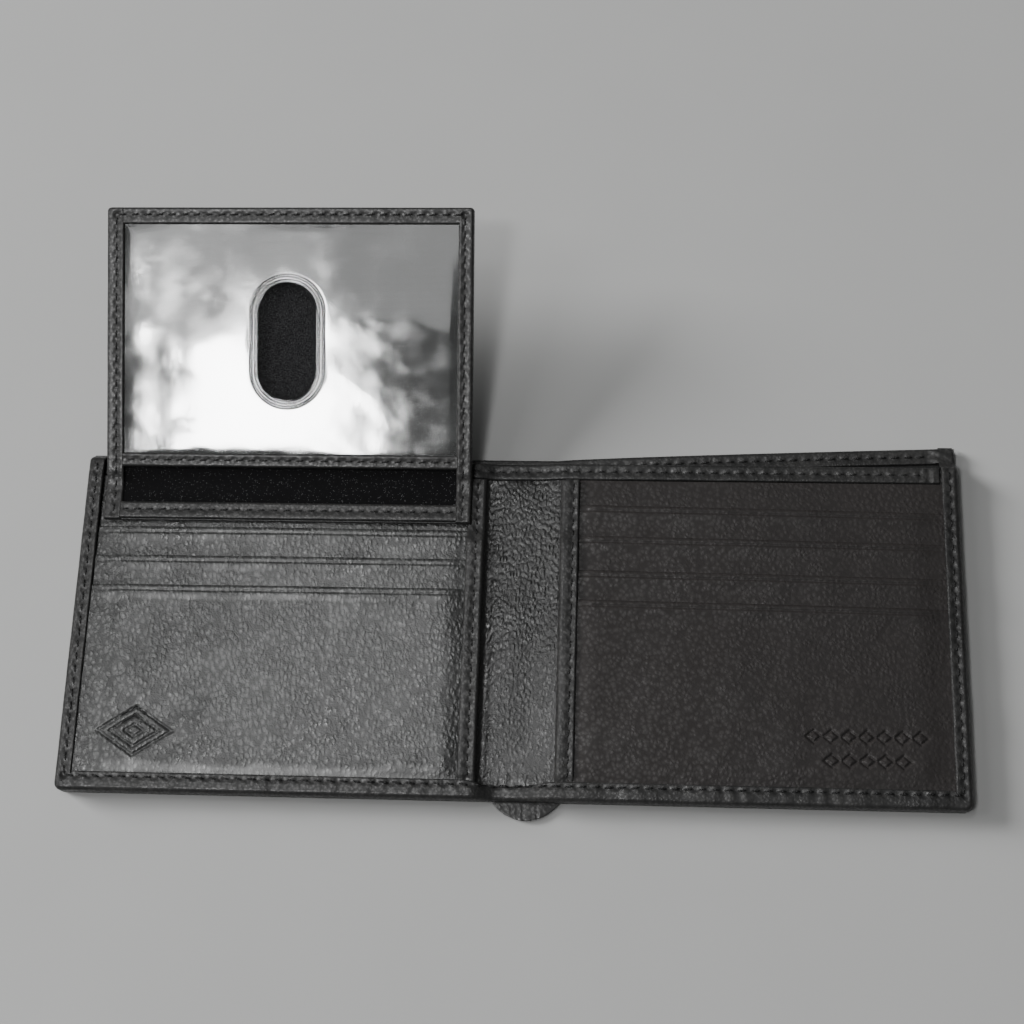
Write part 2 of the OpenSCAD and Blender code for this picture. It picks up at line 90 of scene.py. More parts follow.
def span(*nodes):
    """Lowest and highest corner of CAD nodes, in millimetres."""
    boxes = [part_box(node) for node in nodes]
    low = np.min([np.array(box[0]) for box in boxes], axis=0) / MM
    high = np.max([np.array(box[1]) for box in boxes], axis=0) / MM
    return low, high


joints = {joint["name"]: joint for joint in frame["joints"]}
HINGE = np.array(joints["flap_fold"]["pos_m"]) / MM
LEAN = math.radians(-joints["flap_fold"]["range_deg"][0])  # the flap stands this far up at rest
FOOT = span("cover_leather_left")[0][1]  # y of the wallet's bottom edge
SPINE_TOP = span("cover_leather_spine")[1][1]  # y of the cover's top edge at the spine

# ---------------------------------------------------------------- shapes


def ramp(value):
    """0 below 0, 1 above 1, and smooth between."""
    t = np.clip(value, 0, 1)
    return t * t * (3 - 2 * t)


def swell(value):
    """0 at 0, 1 from 1 on, and steep at first, as leather comes out from under a strip."""
    return 1 - (1 - np.clip(value, 0, 1)) ** 2


def bump(distance, width):
    """1 at distance 0, and near 0 beyond width."""
    return np.exp(-((distance / width) ** 2))


def waves(x, y, size, seed, count=7):
    """Smooth irregular height, mostly from -1 to 1, with features of about size."""
    rng = np.random.default_rng(seed)
    total = 0.0
    for _ in range(count):
        angle, phase = rng.uniform(0, 2 * math.pi, 2)
        length = size * rng.uniform(0.7, 1.6)
        total = total + np.sin((x * math.cos(angle) + y * math.sin(angle)) * 2 * math.pi / length + phase)
    return total / math.sqrt(2 * count)


def scatter(i, j, seed):
    """A repeatable number from 0 to 1 for each cell i, j."""
    value = np.sin(i * 127.1 + j * 311.7 + seed * 74.7) * 43758.5453
    return value - np.floor(value)


def pebbles(x, y, wide, tall, seed=3):
    """Leather pebbles: 1 on top of a pebble and 0 in the crease round it."""
    a, b = x / wide, y / tall
    nearest = np.full(np.shape(a), 9.0)
    second = nearest.copy()
    for di in (-1, 0, 1):
        for dj in (-1, 0, 1):
            i, j = np.floor(a) + di, np.floor(b) + dj
            gap = np.hypot(i + scatter(i, j, seed) - a, j + scatter(j, i, seed + 5) - b)
            second = np.minimum(second, np.maximum(nearest, gap))
            nearest = np.minimum(nearest, gap)
    return swell((second - nearest) / 0.55)


def lines(low, high, pitch, roll_low=0.0, roll_high=0.0, zones=()):
    """Places of grid lines: closer over rolled edges and inside zones, each (from, to, pitch)."""
    start, stop = low + roll_low, high - roll_high
    marks = [start]
    while True:
        at = marks[-1]
        step = min([pitch] + [fine for a, b, fine in zones if a - 1e-6 <= at < b - 1e-6])
        at = min([at + step] + [a for a, b, fine in zones if at + 1e-6 < a < at + step])
        if at > stop - step / 3:
            break
        marks.append(at)
    first = low + roll_low * ROUND[:-1] if roll_low else []
    last = high - roll_high * ROUND[:-1][::-1] if roll_high else []
    return np.concatenate([first, marks, [stop], last])


def build(name, points, faces, material, place):
    """A smooth-shaded mesh object. place moves its points and says whether that turns it inside out."""
    placed, mirrored = place(points)
    if mirrored:
        faces = [face[::-1] for face in faces]
    mesh = bpy.data.meshes.new(name)
    mesh.from_pydata((placed * MM).tolist(), [], faces)
    mesh.polygons.foreach_set("use_smooth", np.ones(len(mesh.polygons), bool))
    mesh.set_sharp_from_angle(angle=SHARP)
    mesh.materials.append(material)
    thing = bpy.data.objects.new(name, mesh)
    bpy.context.scene.collection.objects.link(thing)
    return thing


def slab(name, material, u_span, y_span, under, over, place, rolls=(0, 0, 0, 0), belly=0.35,
         pitch=(1.0, 1.0), zones=((), ()), outline=None):
    """A closed sheet of leather or cloth between the heights under(u, y) and over(u, y).

    rolls is how far the -u, +u, -y and +y edges round off, and belly the share of the thickness where
    the two faces meet there. outline moves the flat grid first, and place moves the points last."""
    us = lines(*u_span, pitch[0], rolls[0], rolls[1], zones[0])
    ys = lines(*y_span, pitch[1], rolls[2], rolls[3], zones[1])
    u, y = np.meshgrid(us, ys, indexing="ij")
    full = np.ones(u.shape)
    for gap, roll in zip((u - u_span[0], u_span[1] - u, y - y_span[0], y_span[1] - y), rolls):
        if roll:
            full = full * np.sqrt(1 - (1 - np.clip(gap / roll, 0, 1)) ** 2)
    full = HIDDEN_EDGE + (1 - HIDDEN_EDGE) * full
    if outline:
        u, y = outline(u, y)
    low, high = under(u, y), over(u, y)
    meet = low + (high - low) * belly
    top = np.stack([u, y, meet + (high - meet) * full], -1).reshape(-1, 3)
    bottom = np.stack([u, y, meet + (low - meet) * full], -1).reshape(-1, 3)
    index = np.arange(u.size).reshape(u.shape)
    upper = np.stack([index[:-1, :-1], index[1:, :-1], index[1:, 1:], index[:-1, 1:]], -1).reshape(-1, 4)
    lower = upper[:, ::-1] + u.size
    rim = np.concatenate([index[:-1, 0], index[-1, :-1], index[:0:-1, -1], index[0, :0:-1]])
    after = np.roll(rim, -1)
    wall = np.stack([rim, rim + u.size, after + u.size, after], -1)
    faces = np.concatenate([upper, lower, wall]).tolist()
    return build(name, np.concatenate([top, bottom]), faces, material, place)


def round_corners(u_span, y_span, radius, corners):
    """An outline that rounds corners, each (0 or 1 for the low or high u edge, 0 or 1 for the y edge)."""

    def outline(u, y):
        shifted = u.copy()
        for at_u, at_y in corners:
            rise = np.clip(radius - np.abs(y - y_span[at_y]), 0, radius)
            inset = radius - np.sqrt(radius**2 - rise**2)
            near = 1 - ramp(np.abs(u - u_span[at_u]) / (4 * radius))
            shifted = shifted + inset * near * (1 if at_u == 0 else -1)
        return shifted, y

    return outline


class Seam:
    """A row of stitches along u or along y, at a fixed distance across. rise(u) moves them up in y."""

    def __init__(self, along, at, start, stop, rise=np.zeros_like):
        self.along, self.at, self.rise = along, at, rise
        self.count = max(1, round((stop - start) / STITCH_PITCH))
        self.start, self.pitch = start, (stop - start) / self.count

    def dent(self, u, y):
        """How deep the stitches pull the leather in: most at the needle holes."""
        run, across = (u, y) if self.along == "u" else (y, u)
        phase = (run - self.start) / self.pitch
        inside = ramp(phase * 2 + 1) * ramp((self.count - phase) * 2 + 1)
        hole = 0.55 + 0.45 * np.cos(2 * math.pi * phase)
        return DENT * bump(across - self.at, DENT_WIDTH) * hole * inside

    def places(self):
        """Middle of each stitch, as (u, y)."""
        run = self.start + self.pitch * (np.arange(self.count) + 0.5)
        across = np.full(self.count, float(self.at))
        return np.stack([run, across] if self.along == "u" else [across, run], -1)


def tube_faces(index):
    """Faces of a closed tube, whose rings are the rows of index."""
    a, b = index[:-1], index[1:]
    quads = np.stack([a, np.roll(a, -1, 1), np.roll(b, -1, 1), b], -1).reshape(-1, 4).tolist()
    return quads + [index[0][::-1].tolist(), index[-1].tolist()]


def dents(seams):
    """The dents of several seams together."""
    return lambda u, y: sum(seam.dent(u, y) for seam in seams)


def stitches(name, rows, place, seed):
    """One mesh with every stitch of rows, each (seam, height(u, y)).

    A stitch is a short thread that dives in at both ends."""
    rng = np.random.default_rng(seed)
    sides, rings = 8, 7
    t = np.linspace(-1, 1, rings)
    thick = STITCH_RADIUS * np.sqrt(1 - (0.96 * t) ** 4)
    turn = np.linspace(0, 2 * math.pi, sides, endpoint=False)
    points, faces = [], []
    for seam, height in rows:
        for centre in seam.places():
            first = len(points) * rings * sides
            skew = math.radians(7) + rng.normal(0, 0.05)
            length = STITCH_LENGTH / 2 * rng.uniform(0.93, 1.05)
            run = (t * length)[:, None] + 0 * turn
            across = thick[:, None] * np.cos(turn) + math.sin(skew) * run
            lift = thick[:, None] * np.sin(turn) * 0.8 + 0.14 - 0.42 * (t**2)[:, None]
            u, y = (run, across) if seam.along == "u" else (across, run)
            u = u + centre[0]
            y = y + centre[1] + seam.rise(u)
            level = height(np.array([centre[0]]), np.array([centre[1]]))[0]
            points.append(np.stack([u, y, lift + level], -1).reshape(-1, 3))
            tube = tube_faces(first + np.arange(rings * sides).reshape(rings, sides))
            faces += [face[::-1] for face in tube] if seam.along == "u" else tube
    return build(name, np.concatenate(points), faces, THREAD, place)


# ---------------------------------------------------------------- materials


class Finish:
    """A node material with a Principled shader, and short ways to add nodes to it."""

    def __init__(self, name, **settings):
        self.material = bpy.data.materials.new(name)
        self.material.use_nodes = True
        self.tree = self.material.node_tree
        self.shader = self.tree.nodes["Principled BSDF"]
        for key, value in settings.items():
            self.shader.inputs[key.replace("_", " ")].default_value = value
        self.place = self.add("ShaderNodeTexCoord").outputs["Object"]

    def add(self, kind, props=None, **inputs):
        """A node with its properties and inputs set; an input is a value or another node's output."""
        node = self.tree.nodes.new(kind)
        for key, value in (props or {}).items():
            setattr(node, key, value)
        for key, value in inputs.items():
            socket = node.inputs[int(key[1:])] if key[0] == "_" else node.inputs[key.replace("_", " ")]
            if isinstance(value, bpy.types.NodeSocket):
                self.tree.links.new(value, socket)
            else:
                socket.default_value = value
        return node

    def maths(self, operation, a, b, c=0.0):
        """One step of arithmetic."""
        return self.add("ShaderNodeMath", {"operation": operation}, _0=a, _1=b, _2=c).outputs[0]

    def remap(self, value, low, high, to_low=0.0, to_high=1.0):
        """value from low..high to to_low..to_high, with soft ends."""
        props = {"interpolation_type": "SMOOTHSTEP"}
        node = self.add("ShaderNodeMapRange", props, Value=value, From_Min=low, From_Max=high,
                        To_Min=to_low, To_Max=to_high)
        return node.outputs["Result"]

    def noise(self, size, detail=3.0, where=None):
        """Noise with features of about size millimetres."""
        node = self.add("ShaderNodeTexNoise", Vector=where or self.place, Scale=1 / (size * MM),
                        Detail=detail)
        return node.outputs["Fac"]

    def mix(self, factor, a, b):
        """A colour between a and b."""
        node = self.add("ShaderNodeMix", {"data_type": "RGBA"}, _0=factor, _6=a, _7=b)
        return node.outputs[2]

    def relief(self, height, depth):
        """Bumps of depth millimetres on the surface."""
        node = self.add("ShaderNodeBump", Height=height, Distance=depth * MM, Strength=1.0)
        self.drive("Normal", node.outputs[0])

    def drive(self, socket, value):
        """Links value to one of the shader's sockets."""
        self.tree.links.new(value, self.shader.inputs[socket])


def colour(red, green, blue):
    """A colour with full opacity."""
    return (red, green, blue, 1.0)


def grey(value):
    """A neutral grey with full opacity."""
    return colour(value, value, value)


def leather(name, dark, light, pebble, depth, rough, coat, gloss, stretch=(1, 1, 1)):
    """Grained leather: domed pebbles with creases between, fine pores, blotches, and edges made paler by
    wear. Its colour is painted darker in the creases and lighter on the pebbles' tops, as painted shade.
    """
    f = Finish(name, Coat_Weight=coat, Coat_Roughness=0.28, Specular_IOR_Level=gloss)
    pull = f.add("ShaderNodeTexNoise", Vector=f.place, Scale=0.5 / (pebble * MM), Detail=2.0).outputs["Color"]
    centred = f.add("ShaderNodeVectorMath", {"operation": "SUBTRACT"}, _0=pull, _1=(0.5, 0.5, 0.5)).outputs[0]
    bent = f.add("ShaderNodeVectorMath", {"operation": "MULTIPLY_ADD"}, _0=centred,
                 _1=(pebble * MM * 0.9,) * 3, _2=f.place).outputs[0]
    grain = f.add("ShaderNodeMapping", Vector=bent, Rotation=(0, 0, 0.6), Scale=stretch).outputs[0]
    cells = f.add("ShaderNodeTexVoronoi", Vector=grain, Scale=1 / (pebble * MM)).outputs["Distance"]
    domes = f.remap(cells, 0.78, 0.08)
    small = f.add("ShaderNodeTexVoronoi", Vector=bent, Scale=2.1 / (pebble * MM)).outputs["Distance"]
    folds = f.remap(small, 0.8, 0.1)
    pores = f.noise(0.25, 2.0)
    blotch = f.noise(16.0, 4.0)
    patches = f.remap(f.noise(7.0, 3.0), 0.35, 0.65, 0.45, 1.0)
    height = f.maths("MULTIPLY_ADD", folds, 0.3, f.maths("MULTIPLY_ADD", pores, 0.15, domes))
    f.relief(f.maths("MULTIPLY", height, patches), depth)
    edge = f.add("ShaderNodeNewGeometry").outputs["Pointiness"]
    made_paler = f.maths("MULTIPLY", f.remap(edge, 0.515, 0.6), 0.5)
    # painted shade: darker in the creases and lighter on the pebbles' tops, with random blotches and paler
    # worn edges added
    crease_shade_mottle_wear = f.maths("MULTIPLY_ADD", domes, 0.7, f.remap(blotch, 0.3, 0.7, -0.1, 0.3))
    crease_shade_mottle_wear = f.maths("ADD", crease_shade_mottle_wear, made_paler)
    f.drive("Base Color", f.mix(crease_shade_mottle_wear, dark, light))
    worn = f.remap(blotch, 0.3, 0.7, rough - 0.08, rough + 0.02)
    shine = f.maths("MULTIPLY_ADD", f.noise(1.6, 3.0), 0.1, worn)
    f.drive("Roughness", f.maths("MULTIPLY_ADD", f.maths("SUBTRACT", 1.0, domes), 0.3, shine))
    return f.material


def fabric(name, base, thread_colour, weave, rough, sparkle=0.0, sheen=0.25, made_paler=None):
    """Woven lining. Where sparkle is above 0, it has small bright specks, and round the place made_paler it
    is painted paler, as painted light on the cloth in the window's hole.
    """
    f = Finish(name, Roughness=rough, Sheen_Weight=sheen, Sheen_Roughness=0.4,
               Specular_IOR_Level=0.2)
    warp, weft = (f.add("ShaderNodeTexWave", {"bands_direction": way}, Vector=f.place,
                        Scale=0.32 / (weave * MM), Distortion=0.6) for way in "XY")
    cross = f.maths("MULTIPLY", warp.outputs["Fac"], weft.outputs["Fac"])
    nap = f.noise(0.35, 3.0)
    f.relief(f.maths("MULTIPLY_ADD", nap, 0.8, cross), 0.12)
    tint = f.mix(f.maths("MULTIPLY", cross, nap), base, thread_colour)
    if sparkle:
        specks = f.add("ShaderNodeTexVoronoi", Vector=f.place, Scale=1 / (0.24 * MM))
        shade = f.add("ShaderNodeSeparateColor", Color=specks.outputs["Color"]).outputs[0]
        chosen = f.remap(shade, 1 - sparkle, 1 - sparkle / 2)
        core = f.remap(specks.outputs["Distance"], 0.42, 0.12)
        glint = f.maths("MULTIPLY", chosen, core)
        tint = f.mix(glint, tint, colour(0.16, 0.16, 0.165))
        # painted light: paler cloth round made_paler, where light falls into the window's hole
        away = f.add("ShaderNodeVectorMath", {"operation": "DISTANCE"}, _0=f.place, _1=made_paler)
        pale = f.maths("MULTIPLY", f.remap(away.outputs["Value"], 26 * MM, 8 * MM), f.remap(nap, 0.3, 0.7))
        tint = f.mix(pale, tint, colour(0.028, 0.028, 0.029))
        f.drive("Roughness", f.remap(glint, 0.0, 1.0, rough, 0.25))
    f.drive("Base Color", tint)
    return f.material


def clear_film(name):
    """Clear vinyl with faint rub marks and fine ripples."""
    f = Finish(name, Base_Color=colour(0.93, 0.95, 0.95), Transmission_Weight=1.0, IOR=1.85,
               Coat_Weight=1.0, Coat_IOR=1.85, Coat_Roughness=0.05)
    haze = f.noise(9.0, 5.0)
    f.drive("Roughness", f.remap(haze, 0.35, 0.7, 0.05, 0.13))
    slanted = f.add("ShaderNodeMapping", Vector=f.place, Rotation=(0, 0, 0.9), Scale=(1, 0.45, 1))
    ripples = f.noise(1.3, 2.0, slanted.outputs[0])
    f.relief(f.maths("MULTIPLY_ADD", ripples, 0.35, f.noise(5.0, 2.0)), 0.015)
    return f.material


def thread_finish(name):
    """Waxed black thread with a fine twist."""
    f = Finish(name, Specular_IOR_Level=0.5)
    wave = f.add("ShaderNodeTexWave", {"bands_direction": "DIAGONAL"}, Vector=f.place,
                 Scale=1 / (1.1 * MM), Distortion=1.2)
    twist = wave.outputs["Fac"]
    f.relief(twist, 0.08)
    f.drive("Base Color", f.mix(twist, grey(0.002), grey(0.009)))
    f.drive("Roughness", f.remap(f.noise(0.6), 0.3, 0.7, 0.42, 0.6))
    return f.material


def board_finish(name):
    """Grey pulp board."""
    f = Finish(name, Roughness=0.85)
    pulp = f.noise(0.8, 6.0)
    f.drive("Base Color", f.mix(pulp, colour(0.06, 0.055, 0.05), colour(0.16, 0.15, 0.135)))
    f.relief(pulp, 0.08)
    return f.material


def foil_finish(name):
    """Thin shielding foil with creases."""
    f = Finish(name, Metallic=1.0)
    crumple = f.noise(4.0, 5.0)
    f.drive("Base Color", f.mix(crumple, colour(0.5, 0.51, 0.52), colour(0.72, 0.73, 0.74)))
    f.drive("Roughness", f.remap(crumple, 0.3, 0.7, 0.25, 0.45))
    f.relief(crumple, 0.2)
    return f.material


def floor_finish(name):
    """Plain pale paper."""
    f = Finish(name, Roughness=0.9)
    mottle = f.noise(40.0, 4.0)
    f.drive("Base Color", f.mix(mottle, colour(0.275, 0.276, 0.274), colour(0.293, 0.294, 0.291)))
    return f.material


COVER = leather("cover_leather", grey(0.005), colour(0.02, 0.0195, 0.019),
                pebble=0.85, depth=0.06, rough=0.33, coat=0.2, gloss=0.5)
SPINE = leather("spine_leather", grey(0.007), colour(0.018, 0.018, 0.0175),
                pebble=0.9, depth=0.17, rough=0.25, coat=0.25, stretch=(1, 0.6, 1), gloss=0.65)
# The pockets of both halves are one leather: the left copy is painted lighter, as painted sheen, and the
# right copy darker, as painted shade.
LEFT_LEATHER_PAINTED_LIGHTER = leather("left_pocket_leather", grey(0.006), colour(0.036, 0.037, 0.036),
               pebble=1.05, depth=0.22, rough=0.27, coat=0.35, stretch=(1, 0.65, 1), gloss=0.8)
RIGHT_LEATHER_PAINTED_DARKER = leather("right_pocket_leather", colour(0.0115, 0.0100, 0.0097), colour(0.0158, 0.0137, 0.0132),
                pebble=1.15, depth=0.07, rough=0.42, coat=0.04, gloss=0.4)
LINING = fabric("lining_fabric", colour(0.006, 0.006, 0.0065), colour(0.025, 0.025, 0.026),
                weave=0.35, rough=0.8)
SPARKLE = fabric("sparkle_lining", colour(0.0025, 0.0025, 0.0028), colour(0.005, 0.005, 0.0054),
                 weave=0.3, rough=0.9, sparkle=0.12, sheen=0.0, made_paler=[at * MM for at in PAINTED_LIGHT_AT_HOLE])
FILM = clear_film("clear_plastic")
THREAD = thread_finish("thread")
BOARD = board_finish("board")
FOIL = foil_finish("foil")
FLOOR = floor_finish("floor_paper")

# ---------------------------------------------------------------- the wallet's two halves


class Side:
    """One half of the wallet. u is the distance from the middle of the spine out towards the panel's edge.

    slots is how many slot strips it has, rise_from where its layers start to rise off the spine, drop how
    much lower its slots end at their outer side, and hollow how deep they sink beside the outer strip."""

    def __init__(self, name, sign, slots, rise_from, drop, hollow, leather_with_painted_light):
        self.name, self.sign, self.slots = name, sign, slots
        self.rise_from, self.drop, self.hollow = rise_from, drop, hollow
        self.body = name + "_panel"
        self.fold = abs(joints[name + "_fold"]["pos_m"][0] / MM - MIDDLE)
        # the pockets' leather: painted lighter on the left and darker on the right, as painted light and
        # shade
        self.pocket_leather_with_painted_light = leather_with_painted_light
        self.out = self.reach("cover_leather")[1][0]
        self.top = self.reach("cover_leather")[1][1]
        self.wall_top = self.reach("inner_wall")[1][1]
        self.flange = self.reach("side_binding")[0][0]
        self.trim = self.reach("inner_edge_trim")
        self.bottom_flange = self.reach("bottom_binding")[1][1]
        # what is left of the CAD stack's height under the strips, and in the middle of the panel
        stack_height = self.reach("front_pocket")[1][2] - STACK_FOOT
        self.squeezed = (TRIM_SEAT - 0.1 - STACK_FOOT) / stack_height
        self.pressed = (STACK_CREST - STACK_FOOT) / stack_height

    def x(self, u):
        """World x of a distance from the middle."""
        return MIDDLE + self.sign * u

    def reach(self, kind, number=None):
        """Box of a CAD node of this side, with u in place of x."""
        node = f"{kind}_{self.name}" + (f"_{number}" if number else "")
        low, high = span(node)
        near, far = sorted(self.sign * (x - MIDDLE) for x in (low[0], high[0]))
        return np.array([near, *low[1:]]), np.array([far, *high[1:]])

    def place(self, points):
        """Turns u into x. The second answer says whether faces turn inside out."""
        moved = points.copy()
        moved[:, 0] = self.x(points[:, 0])
        return moved, self.sign < 0

    def lift(self, u):
        """0 along the spine and 1 on the panel, where the layers lie higher."""
        return ramp((u - self.rise_from) / (BEND_TO - 1.5 - self.rise_from))

    def open_share(self, u, y):
        """0 where a strip holds the pocket layers down, and 1 away from all strips."""
        out = ramp((self.flange - u) / DIP[0])
        inner = swell((u - self.trim[1][0]) / DIP[1])
        bottom = swell((y - self.bottom_flange) / DIP[2])
        return out * inner * bottom

    def sway(self, u, y):
        """Slow rise and fall that every pocket layer shares."""
        return SWAY * waves(self.x(u), y, 48.0, 21) * self.open_share(u, y)

    def settle(self, height):
        """A pocket layer's height over the panel, pressed down where strips hold the stack."""

        def settled(u, y):
            share = self.squeezed + (self.pressed - self.squeezed) * self.open_share(u, y)
            share = share - self.hollow * bump(u - self.flange + 3.5, 3.2)
            return STACK_FOOT + (height - STACK_FOOT) * share + self.sway(u, y)

        return settled

    def slope(self, u):
        """How far a slot's edge has dropped at u."""
        return self.drop * np.clip((u - self.trim[1][0]) / (self.flange - self.trim[1][0]), 0, 1.1)

    def edge_rise(self, u):
        """How far the cover's top edge stands above its height at the spine."""
        run = np.clip((u - self.fold) / (self.out - self.fold), 0, 1)
        return (self.top - SPINE_TOP) * run**0.8


left = Side("left", -1, slots=2, rise_from=5.0, drop=0.0, hollow=0.1, leather_with_painted_light=LEFT_LEATHER_PAINTED_LIGHTER)
right = Side("right", 1, slots=3, rise_from=1.5, drop=SLOT_DROP, hollow=0.0, leather_with_painted_light=RIGHT_LEATHER_PAINTED_DARKER)


def across_fold(side, piece, slot, kind, *more):
    """piece is baked in place, and stands for the nodes of both spine and panel, which are hidden."""
    start = (side.x(BEND_FROM) * MM, 0, 0)
    end = (side.x(BEND_TO) * MM, 0, 0)
    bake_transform(piece)
    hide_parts(*more, f"{kind}_{side.name}", kind + "_spine")


def on_panel(side, piece, node):
    """piece moves with the whole panel."""
    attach(piece, side.body)
    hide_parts(node)


def wall_height(side, u, y):
    """Upper face of the inner wall without its grain. ends keeps the strip flat under its hems."""
    low, high = span("inner_wall_spine")[1][2], side.reach("inner_wall")[1][2]
    crown = CROWN[2] * bump(side.x(u) - CROWN[0], CROWN[1]) * (1 - side.lift(u))
    gutter = GUTTER[2] * bump(side.x(u) - GUTTER[0], GUTTER[1])
    ends = ramp((y - FOOT - 2.0) / 5.0) * ramp((side.wall_top - 3.0 - y) / 4.0)
    return low + (high - low) * side.lift(u) + crown * ends - gutter * ends


def cover_outline(side):
    """Outline of the outer leather: round corners, the lip under the spine, and the raised top edge."""
    spans = (0.0, side.out), (FOOT, SPINE_TOP)
    corners = round_corners(*spans, CORNER, [(1, 0), (1, 1)])

    def outline(u, y):
        u, y = corners(u, y)
        run = np.clip(1 - ((side.x(u) - LIP[0]) / LIP[1]) ** 2, 0, 1)
        y = y - LIP[2] * run**0.85 * (1 - ramp((y - FOOT) / 6.0))
        return u, y + side.edge_rise(u) * ramp((y - 25.0) / (SPINE_TOP - 25.0))

    return outline


def make_cover(side):
    """Outer leather of one half, from the middle of the spine to the panel's edge."""
    low, high = side.reach("cover_leather")
    folds = lambda u, y: 0.09 * waves(side.x(u) * 3.0, y * 0.5, 5.0, 33) * bump(y - FOOT + 3.0, 2.5)
    over = lambda u, y: high[2] + folds(u, y)
    under = lambda u, y: low[2] + 0.25 * bump(u - side.fold, 2.5)
    zones = ([(0, 9, 0.4), (side.out - 3, side.out, 0.3)], [(FOOT, FOOT + 7, 0.45), (42, 45, 0.3)])
    piece = slab("cover_skin_" + side.name, COVER, (0, side.out), (FOOT, SPINE_TOP), under, over,
                 side.place, rolls=(0, 0.9, 0.9, 0.9), belly=0.9, pitch=(1.6, 1.6), zones=zones,
                 outline=cover_outline(side))
    across_fold(side, piece, "cover_leather", "cover_leather")


def make_cover_hem(side):
    """Turned edge along the cover's top, inside the bill compartment."""
    high, spine_high = side.reach("cover_hem")[1][2], span("cover_hem_spine")[1][2]
    seam = Seam("u", SPINE_TOP - 2.4, 14.0, side.flange - 3, side.edge_rise)
    crest_y, cover_top = 43.8, 1.1  # y where the leather turns over, and height of the cover under it
    outline = lambda u, y: (u, y + side.edge_rise(u))
    level = lambda u: spine_high + (high - spine_high) * side.lift(u)

    def over(u, y):
        flat_y = y - side.edge_rise(u)
        pucker = 0.12 * bump(u - side.flange, 3.5) * np.sin(flat_y * 2.6 + u * 1.1)
        over_end = 0.3 * ramp((u - side.flange + 2.5) / 2.5)
        ridge = 0.1 * bump(flat_y - crest_y, 0.8)
        return level(u) + 0.2 + over_end + pucker + ridge - seam.dent(u, flat_y)

    def under(u, y):
        flat_y = y - side.edge_rise(u)
        inner = level(u) - 0.45
        return inner + (cover_top - inner) * ramp((flat_y - crest_y + 0.2) / 0.8)

    narrowing = (HEM_WIDTH[0] - HEM_WIDTH[1]) / HEM_WIDTH[0]
    narrow = lambda u, y: outline(u, y + narrowing * (1 - side.lift(u)) * (SPINE_TOP - y))
    spans = (0, side.out - 0.15), (HEM_FOOT, SPINE_TOP)
    rounded = round_corners(*spans, CORNER, [(1, 1)])
    piece = slab("cover_hem_skin_" + side.name, COVER, *spans, under, over, side.place,
                 rolls=(0, 0.8, 0.3, 0.7), belly=0.05, pitch=(0.55, 0.4),
                 outline=lambda u, y: narrow(*rounded(u, y)))
    across_fold(side, piece, "cover_leather", "cover_hem")
    return seam, lambda u, y: level(u) + 0.08


def make_cloth(side, name, kind, over, short=0.0):
    """Cloth glued to a skin, from the middle of the spine to the panel's edge."""
    low, high = side.reach(kind)
    under = lambda u, y: over(u, y) - (high[2] - low[2])
    u_span, y_span = (0, high[0]), (low[1], high[1] - short)
    piece = slab(f"{name}_{side.name}", LINING, u_span, y_span, under, over, side.place, pitch=(2.0, 3.0),
                 zones=([FOLD_ZONE], ()))
    across_fold(side, piece, "lining_fabric", kind)


def make_linings(side):
    """The cloths on both walls of the bill compartment: inside the cover, and behind the inner wall."""
    high = side.reach("cover_lining")[1][2]
    spine_high = span("cover_lining_spine")[1][2]
    on_cover = lambda u, y: spine_high + (high - spine_high) * side.lift(u)
    make_cloth(side, "cover_cloth", "cover_lining", on_cover)
    wall = side.reach("inner_wall")
    behind_wall = lambda u, y: wall_height(side, u, y) - (wall[1][2] - wall[0][2]) - 0.01
    make_cloth(side, "wall_cloth", "inner_wall_lining", behind_wall, CLOTH_SHORT)


def make_wall(side):
    """Leather of the inner wall: the pebbled strip along the spine, and the sheet behind the pockets."""
    low, high = side.reach("inner_wall")
    thick = high[2] - low[2]

    def over(u, y):
        x = side.x(u)
        shown = 1 - ramp((u - 12) / 3)
        grain = pebbles(x + 0.5 * waves(x, y, 7, 4), y + 0.5 * waves(x, y, 8, 6), 1.0, 1.8) - 0.5
        grain = 0.24 * grain * (0.25 + 0.75 * ramp((y + 30) / 40))
        near_hems = bump(y - FOOT - 5.5, 2.2) + 0.5 * bump(y - 38.0, 2.0)
        tucks = 0.11 * waves(x * 1.8, y * 0.35, 5.0, 37) * near_hems
        slow = 0.12 * waves(x * 2, y, 26, 8)
        return wall_height(side, u, y) + (grain + tucks + slow) * shown - 0.1 * shown

    under = lambda u, y: wall_height(side, u, y) - thick
    piece = slab("wall_skin_" + side.name, SPINE, (0, high[0]), (low[1], high[1]), under, over,
                 side.place, rolls=(0, 0, 0, 0.5), belly=0.95, pitch=(2.4, 0.3),
                 zones=([(0, 14, 0.28)], ()))
    across_fold(side, piece, "spine_leather", "inner_wall")


def make_top_hem(side):
    """Turned top edge of the inner wall."""
    low, high = side.reach("top_hem")
    seam = Seam("u", 41.2, 0.0, side.flange - 4.5)
    thick = 0.75

    def base(u, y):
        pucker = 0.16 * bump(u - side.flange + 3.5, 2.4) * np.sin(u * 2.4)
        return wall_height(side, u, y) + thick + pucker + 0.1 * waves(side.x(u), y, 9, 31)

    over = lambda u, y: base(u, y) - 1.1 * seam.dent(u, y)
    under = lambda u, y: wall_height(side, u, y) - 0.02
    piece = slab("top_hem_skin_" + side.name, COVER, (0, high[0]), (low[1], high[1] + 0.1), under, over,
                 side.place, rolls=(0, 0.4, 0.55, 0.75), belly=0.05, pitch=(0.5, 0.35))
    across_fold(side, piece, "cover_leather", "top_hem")
    return seam, lambda u, y: base(u, y) - 0.25


